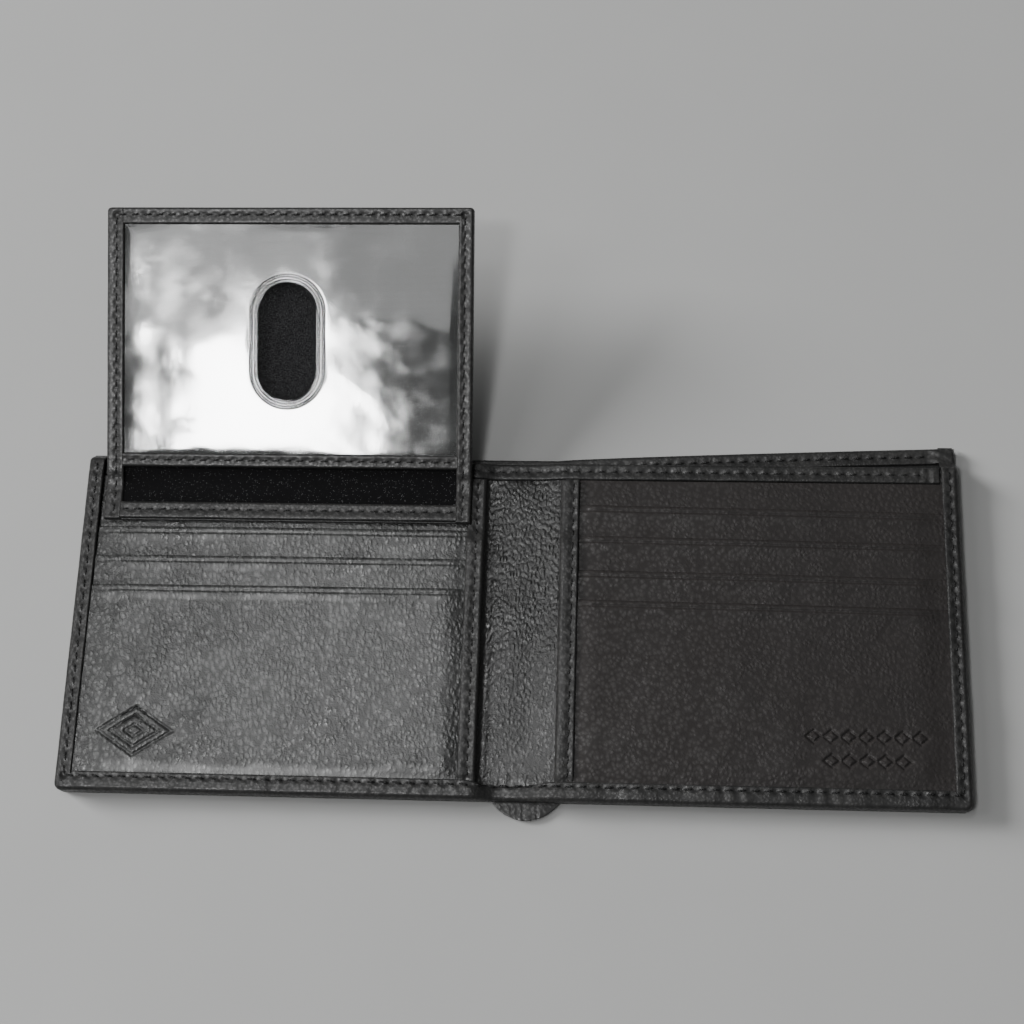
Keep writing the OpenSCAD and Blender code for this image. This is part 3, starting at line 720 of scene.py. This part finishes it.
def weld(piece):
    """Joins points that lie on each other, and makes every face look outwards."""
    mesh = bmesh.new()
    mesh.from_mesh(piece.data)
    bmesh.ops.remove_doubles(mesh, verts=mesh.verts, dist=0.002 * MM)
    bmesh.ops.dissolve_degenerate(mesh, edges=mesh.edges, dist=0.002 * MM)
    bmesh.ops.recalc_face_normals(mesh, faces=mesh.faces)
    mesh.to_mesh(piece.data)
    mesh.free()


def binding_levels(side):
    """Height of the edge strip's upper face without dents, and of its inner edge's underside."""
    spine_crest, spine_seat = 3.25, 2.45
    panel_crest, panel_seat = 5.4, 4.7
    end_crest, end_seat = 2.5, 1.95  # above the inner wall only the cover is left
    past_wall = lambda y: ramp((y - side.wall_top + 0.8) / 2.6)

    def crest(u, y):
        level = spine_crest + (panel_crest - spine_crest) * side.lift(u + 1.5)
        level = level + (end_crest - level) * past_wall(y)
        over_end = np.clip((y - side.top + 1.4) / 1.4, 0, 1)
        level = level - 0.9 * (1 - np.sqrt(1 - over_end**2))
        return level + 0.14 * waves(side.x(u), y, 11, 17) + 0.06 * waves(side.x(u), y, 3.0, 19)

    def seat(u, y):
        level = spine_seat + (panel_seat - spine_seat) * side.lift(u + 1.5)
        return level + (end_seat - level) * past_wall(y)

    return crest, seat


def binding_stations(side):
    """Stations along the outer edge: the side from the top down, the corner, and the bottom to the middle."""
    downs = lines(FOOT + CORNER, side.top, 0.5)[::-1]
    turns = np.linspace(0, math.pi / 2, 9)[1:-1]
    ins = lines(0, side.out - CORNER, 0.5)[::-1]
    return [("side", y) for y in downs] + [("turn", a) for a in turns] + [("foot", u) for u in ins]


def binding_spot(side, kind, value, d):
    """Place of points that lie d in from the outer edge at a station."""
    deep = np.maximum(d, CORNER)
    if kind == "side":
        return side.out - d, np.maximum(value, FOOT + deep)
    if kind == "foot":
        return np.minimum(value, side.out - deep), FOOT + d
    near = CORNER - d
    u = np.where(near > 0, side.out - CORNER + near * math.cos(value), side.out - d)
    y = np.where(near > 0, FOOT + CORNER - near * math.sin(value), FOOT + d)
    return u, y


def binding_width(side, kind, value, u):
    """Width of the edge strip: wider along the bottom, except on the spine."""
    on_side, on_foot, on_spine = 4.3, 4.9, 3.7
    if kind == "side":
        return on_side
    if kind == "turn":
        return on_side + (on_foot - on_side) * value / (math.pi / 2)
    return on_foot - (on_foot - on_spine) * (1 - side.lift(u)[0])


def binding_ring(side, kind, value, levels, seams):
    """Outline of the edge strip at a station: up the outside, over the top, round its edge and back."""
    foot = side.reach("side_binding")[0][2]
    inner = 0.7  # thickness of the part that stands up the outside
    curl = 1.35  # radius over the outer edge
    probe = binding_spot(side, kind, value, np.array([2.0]))
    top, sit = (level(*probe)[0] for level in levels)
    wide = binding_width(side, kind, value, probe[0])
    lip = (top - sit) / 2
    bend = np.linspace(0, math.pi / 2, 7)
    back = np.linspace(0, math.pi, 8)
    across = np.linspace(curl, wide - lip, 13)[1:-1]
    d = np.concatenate([[0, 0], curl * (1 - np.cos(bend)), across, wide - lip + lip * np.sin(back),
                        [wide / 2, inner, inner]])
    z = np.concatenate([[foot, (foot + top - curl) / 2], top - curl + curl * np.sin(bend),
                        np.full(len(across), top), sit + lip + lip * np.cos(back), [sit, sit, foot]])
    u, y = binding_spot(side, kind, value, d)
    upper = np.arange(len(d)) < 2 + len(bend) + len(across) + 3
    z = z - np.where(upper & (d > 0.9), seams(u, y) * 1.1, 0)
    z = z - np.where(upper, 0.1 * ((d - 2.6) / 2.2) ** 2, 0) * (d > curl)
    return np.stack([u, y, z], -1)


def make_binding(side):
    """The edge strip that wraps the outer side and the bottom, round the corner in one length."""
    bottom_row, side_row = FOOT + 3.7, side.out - 2.4
    rows = [Seam("u", bottom_row, 0.0, side.out - 2.3),
            Seam("y", side_row, bottom_row, side.wall_top - 1.0)]
    levels = binding_levels(side)
    rings = [binding_ring(side, kind, value, levels, dents(rows)) for kind, value in binding_stations(side)]
    index = np.arange(len(rings) * len(rings[0])).reshape(len(rings), -1)
    piece = build("edge_binding_" + side.name, np.concatenate(rings), tube_faces(index), COVER, side.place)
    weld(piece)
    across_fold(side, piece, "cover_leather", "bottom_binding", "side_binding_" + side.name)
    return [(row, lambda u, y: levels[0](u, y) - 0.18) for row in rows]


def make_trim(side):
    """Strip over the pockets' inner edge, rolled down over the edge next to the spine."""
    low, high = side.trim
    seam_u = low[0] + 1.9 if side is left else high[0] - 1.6
    seam = Seam("y", seam_u, side.bottom_flange + 0.6, high[1] - 0.5)
    start = low[0] - 0.5

    def press(y):
        tucked = 1 - swell((y - side.bottom_flange) / 2.5)
        under_anchor = ramp((y - 21) / 4) * (0.95 if side is left else 0.6)
        return 0.75 * tucked + under_anchor

    def base(u, y):
        return TRIM_TOP + 0.1 * waves(side.x(u), y, 10, 41) * (1 - ramp((y - 20) / 5)) - press(y)

    over = lambda u, y: base(u, y) - 1.05 * seam.dent(u, y)
    under = lambda u, y: np.where(u > start + 1.3, TRIM_SEAT - 0.9 * press(y), STACK_FOOT - 0.25)
    piece = slab("edge_trim_" + side.name, COVER, (start, high[0]), (low[1] - 0.8, high[1]), under, over,
                 side.place, rolls=(0.9, 0.5, 0.2, 0.4), belly=0.25, pitch=(0.35, 0.5))
    on_panel(side, piece, "inner_edge_trim_" + side.name)
    return seam, lambda u, y: base(u, y) - 0.2


def pocket_sheet(side, kind, name, finish, number=None, relief=None, edge_roll=0.0,
                 pitch=(1.4, 1.4), zones=((), ())):
    """One layer of a pocket, held at its sides and bottom by the strips.

    relief(u, y) shapes its upper face, and is only given to the leathers, which end in a pressed line and
    a rolled edge."""
    low, high = side.reach(kind, number)
    starts = side.trim[1][0] - TUCK
    ends = side.flange + TUCK
    foot = low[1] - (TUCK if low[1] < DEEP else 0)
    drop = lambda u, y: (u, y - side.slope(u) * np.clip((y - low[1]) / (high[1] - low[1]), 0, 1))

    def creased(u, y):
        past = high[1] - side.slope(u) - y - SLOT_LINE  # how far below the pressed line
        lifted = 0.45 * bump(np.minimum(past, 0), 1.8) * (past < 4.5) * (1 - ramp(past / 3.5))
        return lifted - 0.28 * bump(past, 0.36) + 0.05 * waves(side.x(u), y, 14, 50 + int(high[1]))

    free = lambda u, y: 0.15 + 0.85 * side.open_share(u, y)
    shape = lambda u, y: (relief(u, y) + creased(u, y)) * free(u, y) if relief else 0.0
    upper, lower = side.settle(high[2]), side.settle(low[2])
    over = lambda u, y: upper(u, y) + shape(u, y)
    under = lambda u, y: lower(u, y) + np.clip(shape(u, y), 0, 1) * 0.9
    zones_y = list(zones[1]) + ([(high[1] - 4.0, high[1], 0.22)] if relief else [])
    piece = slab(name, finish, (starts, ends), (foot, high[1]), under, over, side.place,
                 rolls=(0, 0, 0, edge_roll), belly=0.2, pitch=pitch, zones=(zones[0], zones_y), outline=drop)
    on_panel(side, piece, f"{kind}_{side.name}" + (f"_{number}" if number else ""))


def lozenge_mark(x, y, wide, tall):
    """A pressed-in pattern: three lozenges inside each other."""
    size = np.abs(x) / wide + np.abs(y) / tall
    return sum(bump((size - ring) * min(wide, tall), 0.44) for ring in (0.92, 0.6, 0.24))


def diamond_row(x, y, half):
    """A pressed-in row of small diamonds, which reaches half to each side."""
    last = np.floor(half / DIAMOND_PITCH) * DIAMOND_PITCH
    nearest = np.clip(np.round(x / DIAMOND_PITCH) * DIAMOND_PITCH, -last, last)
    return bump(np.abs(x - nearest) * 0.8 + np.abs(y) - DIAMOND_SIZE, 0.4)


MARKS = {  # middle of the ornament, as (x, y), and half its width and height
    "left": ((-95.5, -30.2), (10.5, 6.8)),
    "right": ((89.5, -31.2), (15.5, 5.2)),
}
DIAMOND_PITCH, DIAMOND_SIZE = 4.4, 1.5
DIAMOND_ROWS = ((3.1, 0.0), (-2.9, 4.5))  # each row's y over the middle, and by how much it is less wide


def pressed_mark(side):
    """Depth of the pressed ornament on a front pocket."""
    (mark_x, mark_y), (wide, tall) = MARKS[side.name]

    def mark(u, y):
        x = side.x(u) - mark_x
        if side is left:
            return 0.42 * lozenge_mark(x, y - mark_y, wide, tall)
        rows = (diamond_row(x, y - mark_y - up, wide - less) for up, less in DIAMOND_ROWS)
        return 0.36 * sum(rows)

    return mark


def make_backing(side):
    """The leather behind a panel's pockets."""
    low, high = side.reach("pocket_backing")
    u_span = side.trim[0][0] + 0.6, side.flange + TUCK
    under, over = side.settle(low[2]), side.settle(high[2])
    piece = slab("pocket_back_" + side.name, side.pocket_leather_with_painted_light, u_span, (low[1], high[1]), under, over,
                 side.place, rolls=(0, 0, 0, 0.2), pitch=(1.5, 1.5))
    on_panel(side, piece, "pocket_backing_" + side.name)


def make_slots(side):
    """The slot strips, each with its cloth behind it."""
    for number in range(1, side.slots + 1):
        wrinkles = lambda u, y, seed=60 + number: 0.05 * waves(side.x(u), y * 2, 16, seed)
        pocket_sheet(side, "slot_lining", f"slot_cloth_{side.name}_{number}", LINING, number)
        pocket_sheet(side, "slot_strip", f"slot_leather_{side.name}_{number}", side.pocket_leather_with_painted_light,
                     number, wrinkles, edge_roll=0.45)


def make_front_pocket(side):
    """The lowest and largest pocket, which carries the pressed ornament."""
    pocket_sheet(side, "front_pocket_lining", "front_cloth_" + side.name, LINING)
    mark = pressed_mark(side)
    (mark_x, mark_y), (wide, tall) = MARKS[side.name]
    at = side.sign * (mark_x - MIDDLE)
    fine = ([(at - wide - 1, at + wide + 1, 0.22)], [(mark_y - tall - 1, mark_y + tall + 1, 0.22)])
    plump = lambda u, y: 0.1 * waves(side.x(u), y, 19, 77) + 0.04 * waves(side.x(u), y, 5, 78) - mark(u, y)
    pocket_sheet(side, "front_pocket", "front_leather_" + side.name, side.pocket_leather_with_painted_light,
                 relief=plump, edge_roll=0.5, zones=fine, pitch=(0.9, 0.9))


def make_pockets(side):
    """Everything that is stacked on the inner wall."""
    make_backing(side)
    pocket_sheet(side, "shield_foil", "shield_sheet_" + side.name, FOIL)
    make_slots(side)
    make_front_pocket(side)


# ---------------------------------------------------------------- the card flap

flap_low, flap_high = span("flap_back_leather", "flap_anchor_base")
FLAP_X = (flap_low[0], flap_high[0])
FLAP_LENGTH = 72.8  # from the hinge line to the flap's free edge
UNDER_HINGE = 2.35  # the flap's underside lies this far below the hinge line
FLAP_BEND = 3.6  # the leather turns within this distance of the hinge line
STRIP = 4.7  # width of the strips round the window
FLAP_CORNER = 1.1  # radius of the flap's two free corners
# heights over the flap's underside
BACK = 0.9  # top of the back leather
CLOTH = 1.1  # top of the lining
STRIP_SEAT = 1.75  # underside of the strips round the window
STRIP_TOP = 2.4
ANCHOR_TOP = 1.75  # top of those strips where they lie on the left panel


def lay_flap(points):
    """From the flap's flat frame (x, run from the hinge, height over its underside) to its place at rest.

    The second answer says that its faces don't turn inside out."""
    run, lift = points[:, 1], points[:, 2] - UNDER_HINGE
    turn = LEAN * ramp((run + FLAP_BEND) / (2 * FLAP_BEND))
    y = HINGE[1] + run * np.cos(turn) - lift * np.sin(turn)
    z = HINGE[2] + run * np.sin(turn) + lift * np.cos(turn)
    return np.stack([points[:, 0], y, z], -1), False


def run_of(y):
    """Distance along the flat flap of a place on the anchor."""
    return y - HINGE[1]


ANCHOR = (run_of(span("flap_anchor_base")[0][1]), run_of(span("flap_anchor_bar")[1][1]))
ANCHOR_FOOT, ANCHOR_ROW = 26.3, 28.7  # y of the anchor bar's lower edge and of its stitches


def on_flap(s):
    """0 on the anchor and 1 past the hinge."""
    return ramp((s + 3.0) / 6.5)


def flap_waves(x, s):
    """Slow rise and fall that all layers of the flap share past the hinge."""
    return 0.1 * waves(x, s, 34, 91) * ramp((s - 6) / 12)


def flap_piece(piece, slot, *nodes, body=None):
    """A piece of the flap: it rides on body, or else is baked in place at rest; the nodes it stands for are
    hidden.
    """
    if body:
        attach(piece, body)
    else:
        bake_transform(piece)
    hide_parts(*nodes)


def make_flap_back():
    """Back leather of the flap, which runs on under the anchor."""
    spans = FLAP_X, (ANCHOR[0], FLAP_LENGTH)
    low_trim = left.x(left.trim[1][0])
    pad = lambda x, s: -0.5 * (1 - ramp((s + 3.5) / 3)) * (1 - ramp((x - low_trim + 1.2) / 1.0))
    piece = slab("flap_back_skin", COVER, *spans, pad, lambda x, s: BACK + flap_waves(x, s), lay_flap,
                 rolls=(0.45, 0.45, 0.3, 0.45), belly=0.8, pitch=(1.2, 1.2),
                 zones=([], [(-FLAP_BEND, FLAP_BEND, 0.35), (FLAP_LENGTH - 3, FLAP_LENGTH, 0.3)]),
                 outline=round_corners(*spans, FLAP_CORNER, [(0, 1), (1, 1)]))
    flap_piece(piece, "cover_leather", "flap_back_leather", "flap_anchor_base")


def make_flap_lining():
    """Sparkling black cloth under the window and over the hinge."""
    inset = 1.2
    x_span = FLAP_X[0] + inset, FLAP_X[1] - inset
    s_span = ANCHOR[0] + 1.0, FLAP_LENGTH - inset
    puff = lambda x, s: 0.22 * bump(s + 0.8, 3.0) + flap_waves(x, s)
    over = lambda x, s: CLOTH + puff(x, s)
    under = lambda x, s: BACK + 0.01 + puff(x, s)
    piece = slab("flap_cloth", SPARKLE, x_span, s_span, under, over, lay_flap, pitch=(1.6, 1.6),
                 zones=([], [(-FLAP_BEND, FLAP_BEND, 0.4)]))
    flap_piece(piece, "lining_fabric", "flap_lining", "flap_anchor_lining")


def flap_seams():
    """Rows of stitches on the flap: outer side, inner side, top, window bar and anchor bar."""
    first, last = FLAP_X[0] + 2.6, FLAP_X[1] - 2.4
    outer = Seam("y", first, ANCHOR[0] + 1.5, FLAP_LENGTH - 2.2)
    inner = Seam("y", last, ANCHOR[0] + 1.5, FLAP_LENGTH - 2.2)
    top = Seam("u", FLAP_LENGTH - 2.0, first, last)
    bar = Seam("u", 6.0, FLAP_X[0] + STRIP + 0.3, FLAP_X[1] - STRIP - 0.3)
    anchor = Seam("u", run_of(ANCHOR_ROW), FLAP_X[0] + STRIP - 0.7, FLAP_X[1] - STRIP + 0.7)
    return outer, inner, top, bar, anchor


def strip_top(x, s):
    """Upper face of the strips round the window, without dents."""
    level = ANCHOR_TOP + (STRIP_TOP - ANCHOR_TOP) * on_flap(s)
    return level + 0.07 * waves(x, s, 9, 97) + flap_waves(x, s)


def bar_top(x, s):
    """Upper face of the bar across the window's foot, without dents."""
    return strip_top(x, s) + 0.05


def anchor_top(x, s):
    """Upper face of the anchor's bar, without dents."""
    return 1.85 + 0.08 * waves(x, s, 12, 99)


def make_flap_strips():
    """The strips that hold the window, the bar across its foot, the anchor's bar, and all their stitches."""
    outer, inner, top, bar, anchor = flap_seams()
    pressed = dents([outer, inner, top])
    over = lambda x, s: strip_top(x, s) - 0.95 * pressed(x, s)

    def under(x, s):
        rim = np.minimum(np.minimum(x - FLAP_X[0], FLAP_X[1] - x), FLAP_LENGTH - s)
        inside = 0.95 + (STRIP_SEAT - 0.95) * on_flap(s) + flap_waves(x, s)
        return BACK + flap_waves(x, s) + (inside - BACK - flap_waves(x, s)) * ramp((rim - 0.8) / 0.4)

    fine = [(-FLAP_BEND, FLAP_BEND, 0.35)]
    s_span = (ANCHOR[0], FLAP_LENGTH)
    ends = [(FLAP_X[0], FLAP_X[0] + STRIP), (FLAP_X[1] - STRIP + 0.6, FLAP_X[1])]
    for number, (name, x_span) in enumerate(zip(("outer", "inner"), ends)):
        piece = slab("window_strip_" + name, COVER, x_span, s_span, under, over, lay_flap,
                     rolls=(0.6, 0.6, 0.4, 0.6), belly=0.15, pitch=(0.35, 0.5), zones=([], fine),
                     outline=round_corners(x_span, s_span, FLAP_CORNER, [(number, 1)]))
        flap_piece(piece, "cover_leather", "flap_anchor_sides", "flap_frame")

    between = (ends[0][1] - 0.25, ends[1][0] + 0.25)
    bars = [
        ("window_strip_top", (FLAP_LENGTH - STRIP + 0.2, FLAP_LENGTH), under, lambda x, s: over(x, s) - 0.03,
         (0.6, 0.6), 0.35, "flap_frame", "id_flap"),
        ("window_strip_bottom", (4.0, 7.9), lambda x, s: STRIP_SEAT - 0.6 + 0 * x,
         lambda x, s: bar_top(x, s) - 0.9 * bar.dent(x, s), (0.7, 0.6), 0.32, "flap_mid_bar", "id_flap"),
        ("anchor_strip", (run_of(ANCHOR_FOOT), ANCHOR[1]), lambda x, s: CLOTH + 0.02 + 0 * x,
         lambda x, s: anchor_top(x, s) - 0.9 * anchor.dent(x, s), (0.6, 0.65), 0.32, "flap_anchor_bar",
         "left_panel"),
    ]
    for name, span_s, low, high, rolls, step, node, body in bars:
        piece = slab(name, COVER, between, span_s, low, high, lay_flap, rolls=(0, 0, *rolls), belly=0.15,
                     pitch=(0.5, step))
        flap_piece(piece, "cover_leather", node, body=body)

    heights = (strip_top, strip_top, strip_top, bar_top, anchor_top)
    rows = [(seam, lambda x, s, h=height: h(x, s) - 0.18) for seam, height in zip(flap_seams(), heights)]
    piece = stitches("flap_stitching", rows, lay_flap, 5)
    flap_piece(piece, "thread", "thread_flap")


THUMB = (-60.85, 37.5)  # middle of the thumb hole
THUMB_WIDTH, THUMB_LENGTH = 15.5, 31.0
RIM_LINES = (0.55, 1.9)  # distances of the two welded lines from the hole's edge
FILM_THICK = 0.25
FILM_SEAT, FILM_AT_HOLE = 1.48, 1.62  # height of the film's underside in the strips and round the hole


def thumb_hole(aim):
    """Where rays from the hole's middle meet its edge, and the way out of the hole there.

    The hole is two half circles joined by straight sides."""
    radius = THUMB_WIDTH / 2
    straight = THUMB_LENGTH / 2 - radius
    sideways = np.maximum(np.abs(aim[:, 0]), 1e-9)
    on_side = np.abs(aim[:, 1] * radius / sideways) <= straight
    along = np.abs(aim[:, 1]) * straight
    reach_cap = along + np.sqrt(np.maximum(along**2 - straight**2 + radius**2, 0))
    hole = aim * np.where(on_side, radius / sideways, reach_cap)[:, None]
    outward = np.stack([hole[:, 0], hole[:, 1] - np.clip(hole[:, 1], -straight, straight)], -1)
    return hole, outward / np.linalg.norm(outward, axis=1)[:, None]


def film_rings(low, high):
    """The film's grid as rings from the thumb hole out to its edge, and how far each is from the hole."""
    corners = [(x - THUMB[0], t - THUMB[1]) for x in (low[0], high[0]) for t in (low[1], high[1])]
    to_corners = [math.atan2(t, x) for x, t in corners]
    angles = np.unique(np.concatenate([np.linspace(-math.pi, math.pi, 225)[:-1], to_corners]))
    aim = np.stack([np.cos(angles), np.sin(angles)], -1)
    hole, outward = thumb_hole(aim)
    room = np.where(aim > 0, np.array(high) - THUMB, np.array(THUMB) - low)
    rim = aim * np.min(room / np.maximum(np.abs(aim), 1e-9), axis=1)[:, None]
    near = np.concatenate([[0, 0.05, 0.16], np.arange(0.28, 2.7, 0.14)])
    far = np.linspace(0, 1, 34)[1:]
    last = hole + outward * near[-1]
    rings = [hole + outward * step for step in near] + [last + (rim - last) * share for share in far]
    return np.array(rings) + np.array(THUMB), np.concatenate([near, near[-1] + 3 * far])[:, None]


def make_window():
    """Clear window with a thumb hole, and the double welded line round it."""
    low, high = (FLAP_X[0] + 3.4, 5.4), (FLAP_X[1] - 3.2, FLAP_LENGTH - 3.4)
    flat_points, gap = film_rings(low, high)
    x, t = flat_points[..., 0], flat_points[..., 1]
    edge = ramp(np.minimum.reduce([x - low[0], high[0] - x, t - low[1], high[1] - t]) / 3.2)
    wavy = 0.12 * waves(x, t, 60, 103) + 0.02 * waves(x, t, 19, 104) + 0.008 * waves(x, t, 8, 105)
    lift = FILM_SEAT + flap_waves(x, t) + edge * (0.13 + wavy)
    ridge = 0.3 * (bump(gap - RIM_LINES[0], 0.3) + bump(gap - RIM_LINES[1], 0.27))
    away = 1 - ramp((4.5 - gap) / 3)  # 0 round the hole, where the weld keeps the film flat
    lift = lift * away + (FILM_AT_HOLE + flap_waves(x, t)) * (1 - away)
    top = np.stack([x, t, lift + FILM_THICK + ridge * (gap < 3)], -1)
    bottom = np.stack([x, t, lift], -1)
    index = np.arange(x.size).reshape(x.shape)
    after = np.roll(index, -1, 1)
    upper = np.stack([index[:-1], index[1:], after[1:], after[:-1]], -1).reshape(-1, 4)
    lower = upper[:, ::-1] + x.size
    hole_wall = np.stack([index[0], after[0], after[0] + x.size, index[0] + x.size], -1)
    rim_wall = np.stack([after[-1], index[-1], index[-1] + x.size, after[-1] + x.size], -1)
    faces = np.concatenate([upper, lower, hole_wall, rim_wall]).tolist()
    points = np.concatenate([top.reshape(-1, 3), bottom.reshape(-1, 3)])
    piece = build("window_film", points, faces, FILM, lay_flap)
    flap_piece(piece, "clear_plastic", "flap_window", body="id_flap")


# ---------------------------------------------------------------- making it all

for side in (left, right):
    make_cover(side)
    cover_row = make_cover_hem(side)
    make_linings(side)
    make_wall(side)
    hem_row = make_top_hem(side)
    bound_rows = make_binding(side)
    trim_row = make_trim(side)
    make_pockets(side)
    rows = [hem_row, trim_row, cover_row, *bound_rows]
    piece = stitches("panel_stitching_" + side.name, rows, side.place, 2)
    across_fold(side, piece, "thread", "thread")

make_flap_back()
make_flap_lining()
make_window()
make_flap_strips()

for node in ("cover_stiffener_left", "cover_stiffener_right"):
    for slot in frame["nodes"][node].material_slots:
        slot.material = BOARD

# ---------------------------------------------------------------- floor, light and camera


def make_floor():
    """A plain pale floor."""
    half = 8.0  # metres
    mesh = bpy.data.meshes.new("floor")
    corners = [(-half, -half, 0), (half, -half, 0), (half, half, 0), (-half, half, 0)]
    mesh.from_pydata(corners, [], [(0, 1, 2, 3)])
    mesh.materials.append(FLOOR)
    floor = bpy.data.objects.new("floor", mesh)
    bpy.context.scene.collection.objects.link(floor)


def softbox(name, centre, size, radiance, aim=None, shape="RECTANGLE", gloss=True):
    """A light at centre, in metres, that faces aim or straight down, and looks as bright as radiance."""
    data = bpy.data.lights.new(name, "AREA")
    data.shape = shape
    data.size, data.size_y = size
    area = size[0] * size[1] * (math.pi / 4 if shape == "ELLIPSE" else 1)
    aim = aim or (centre[0], centre[1], 0)
    data.energy = radiance * math.pi * area
    lamp = bpy.data.objects.new(name, data)
    lamp.location = centre
    lamp.rotation_euler = (Vector(centre) - Vector(aim)).to_track_quat("Z", "Y").to_euler()
    lamp.visible_glossy = gloss
    bpy.context.scene.collection.objects.link(lamp)


def make_light():
    """Soft light from the left and front, and a dim even fill.

    The film reflects the window lights. left_floor_key isn't seen in gloss, so it gives the floor its
    shadows without glare on the leather."""
    softbox("window_key_right", (-0.265, -0.262, 1.0), (0.118, 0.120), 45.0, shape="ELLIPSE")
    softbox("window_key_left", (-0.328, -0.221, 1.0), (0.130, 0.105), 45.0, shape="ELLIPSE")
    softbox("window_key_low", (-0.300, -0.290, 1.0), (0.185, 0.055), 45.0)
    softbox("window_sky", (-0.270, -0.160, 1.02), (0.40, 0.40), 0.06)
    softbox("window_sky_high", (-0.270, -0.080, 1.03), (0.40, 0.26), 0.66)
    softbox("window_sky_left", (-0.330, -0.120, 1.04), (0.22, 0.20), 0.26, shape="ELLIPSE")
    softbox("window_sky_core", (-0.310, -0.140, 1.05), (0.15, 0.12), 0.30, shape="ELLIPSE")
    softbox("panel_sheen", (-0.215, 0.22, 1.0), (0.26, 0.23), 10.0)
    softbox("left_key", (-1.0, 0.02, 0.90), (0.42, 0.42), 7.0, (0, 0, 0))
    softbox("left_floor_key", (-3.1, 1.10, 1.22), (1.27, 1.11), 76.0, (0, 0, 0), gloss=False)
    world = bpy.data.worlds.new("studio")
    world.use_nodes = True
    background = world.node_tree.nodes["Background"]
    background.inputs["Color"].default_value = colour(0.98, 1.0, 0.985)
    background.inputs["Strength"].default_value = 0.14
    bpy.context.scene.world = world


def make_camera():
    """Camera nearly above the wallet, a little to the right, and turned slightly about its line of sight."""
    lens, distance = 59.65, 0.450
    target = Vector((-0.00113, 0.0311, 0.0))
    azimuth, elevation, roll = (math.radians(a) for a in (12.15, 72.10, -10.85))
    flat = math.cos(elevation)
    back = Vector((math.sin(azimuth) * flat, -math.cos(azimuth) * flat, math.sin(elevation)))
    level = Vector((0, 0, 1)).cross(back).normalized()
    upright = back.cross(level)
    across = level * math.cos(roll) + upright * math.sin(roll)
    over = upright * math.cos(roll) - level * math.sin(roll)
    data = bpy.data.cameras.new("camera")
    data.lens, data.sensor_width = lens, 36.0
    data.clip_start, data.clip_end = 0.01, 20.0
    camera = bpy.data.objects.new("camera", data)
    turned = Matrix((across, over, back)).transposed().to_4x4()
    camera.matrix_world = Matrix.Translation(target + back * distance) @ turned
    bpy.context.scene.collection.objects.link(camera)
    bpy.context.scene.camera = camera


make_floor()
make_light()
make_camera()
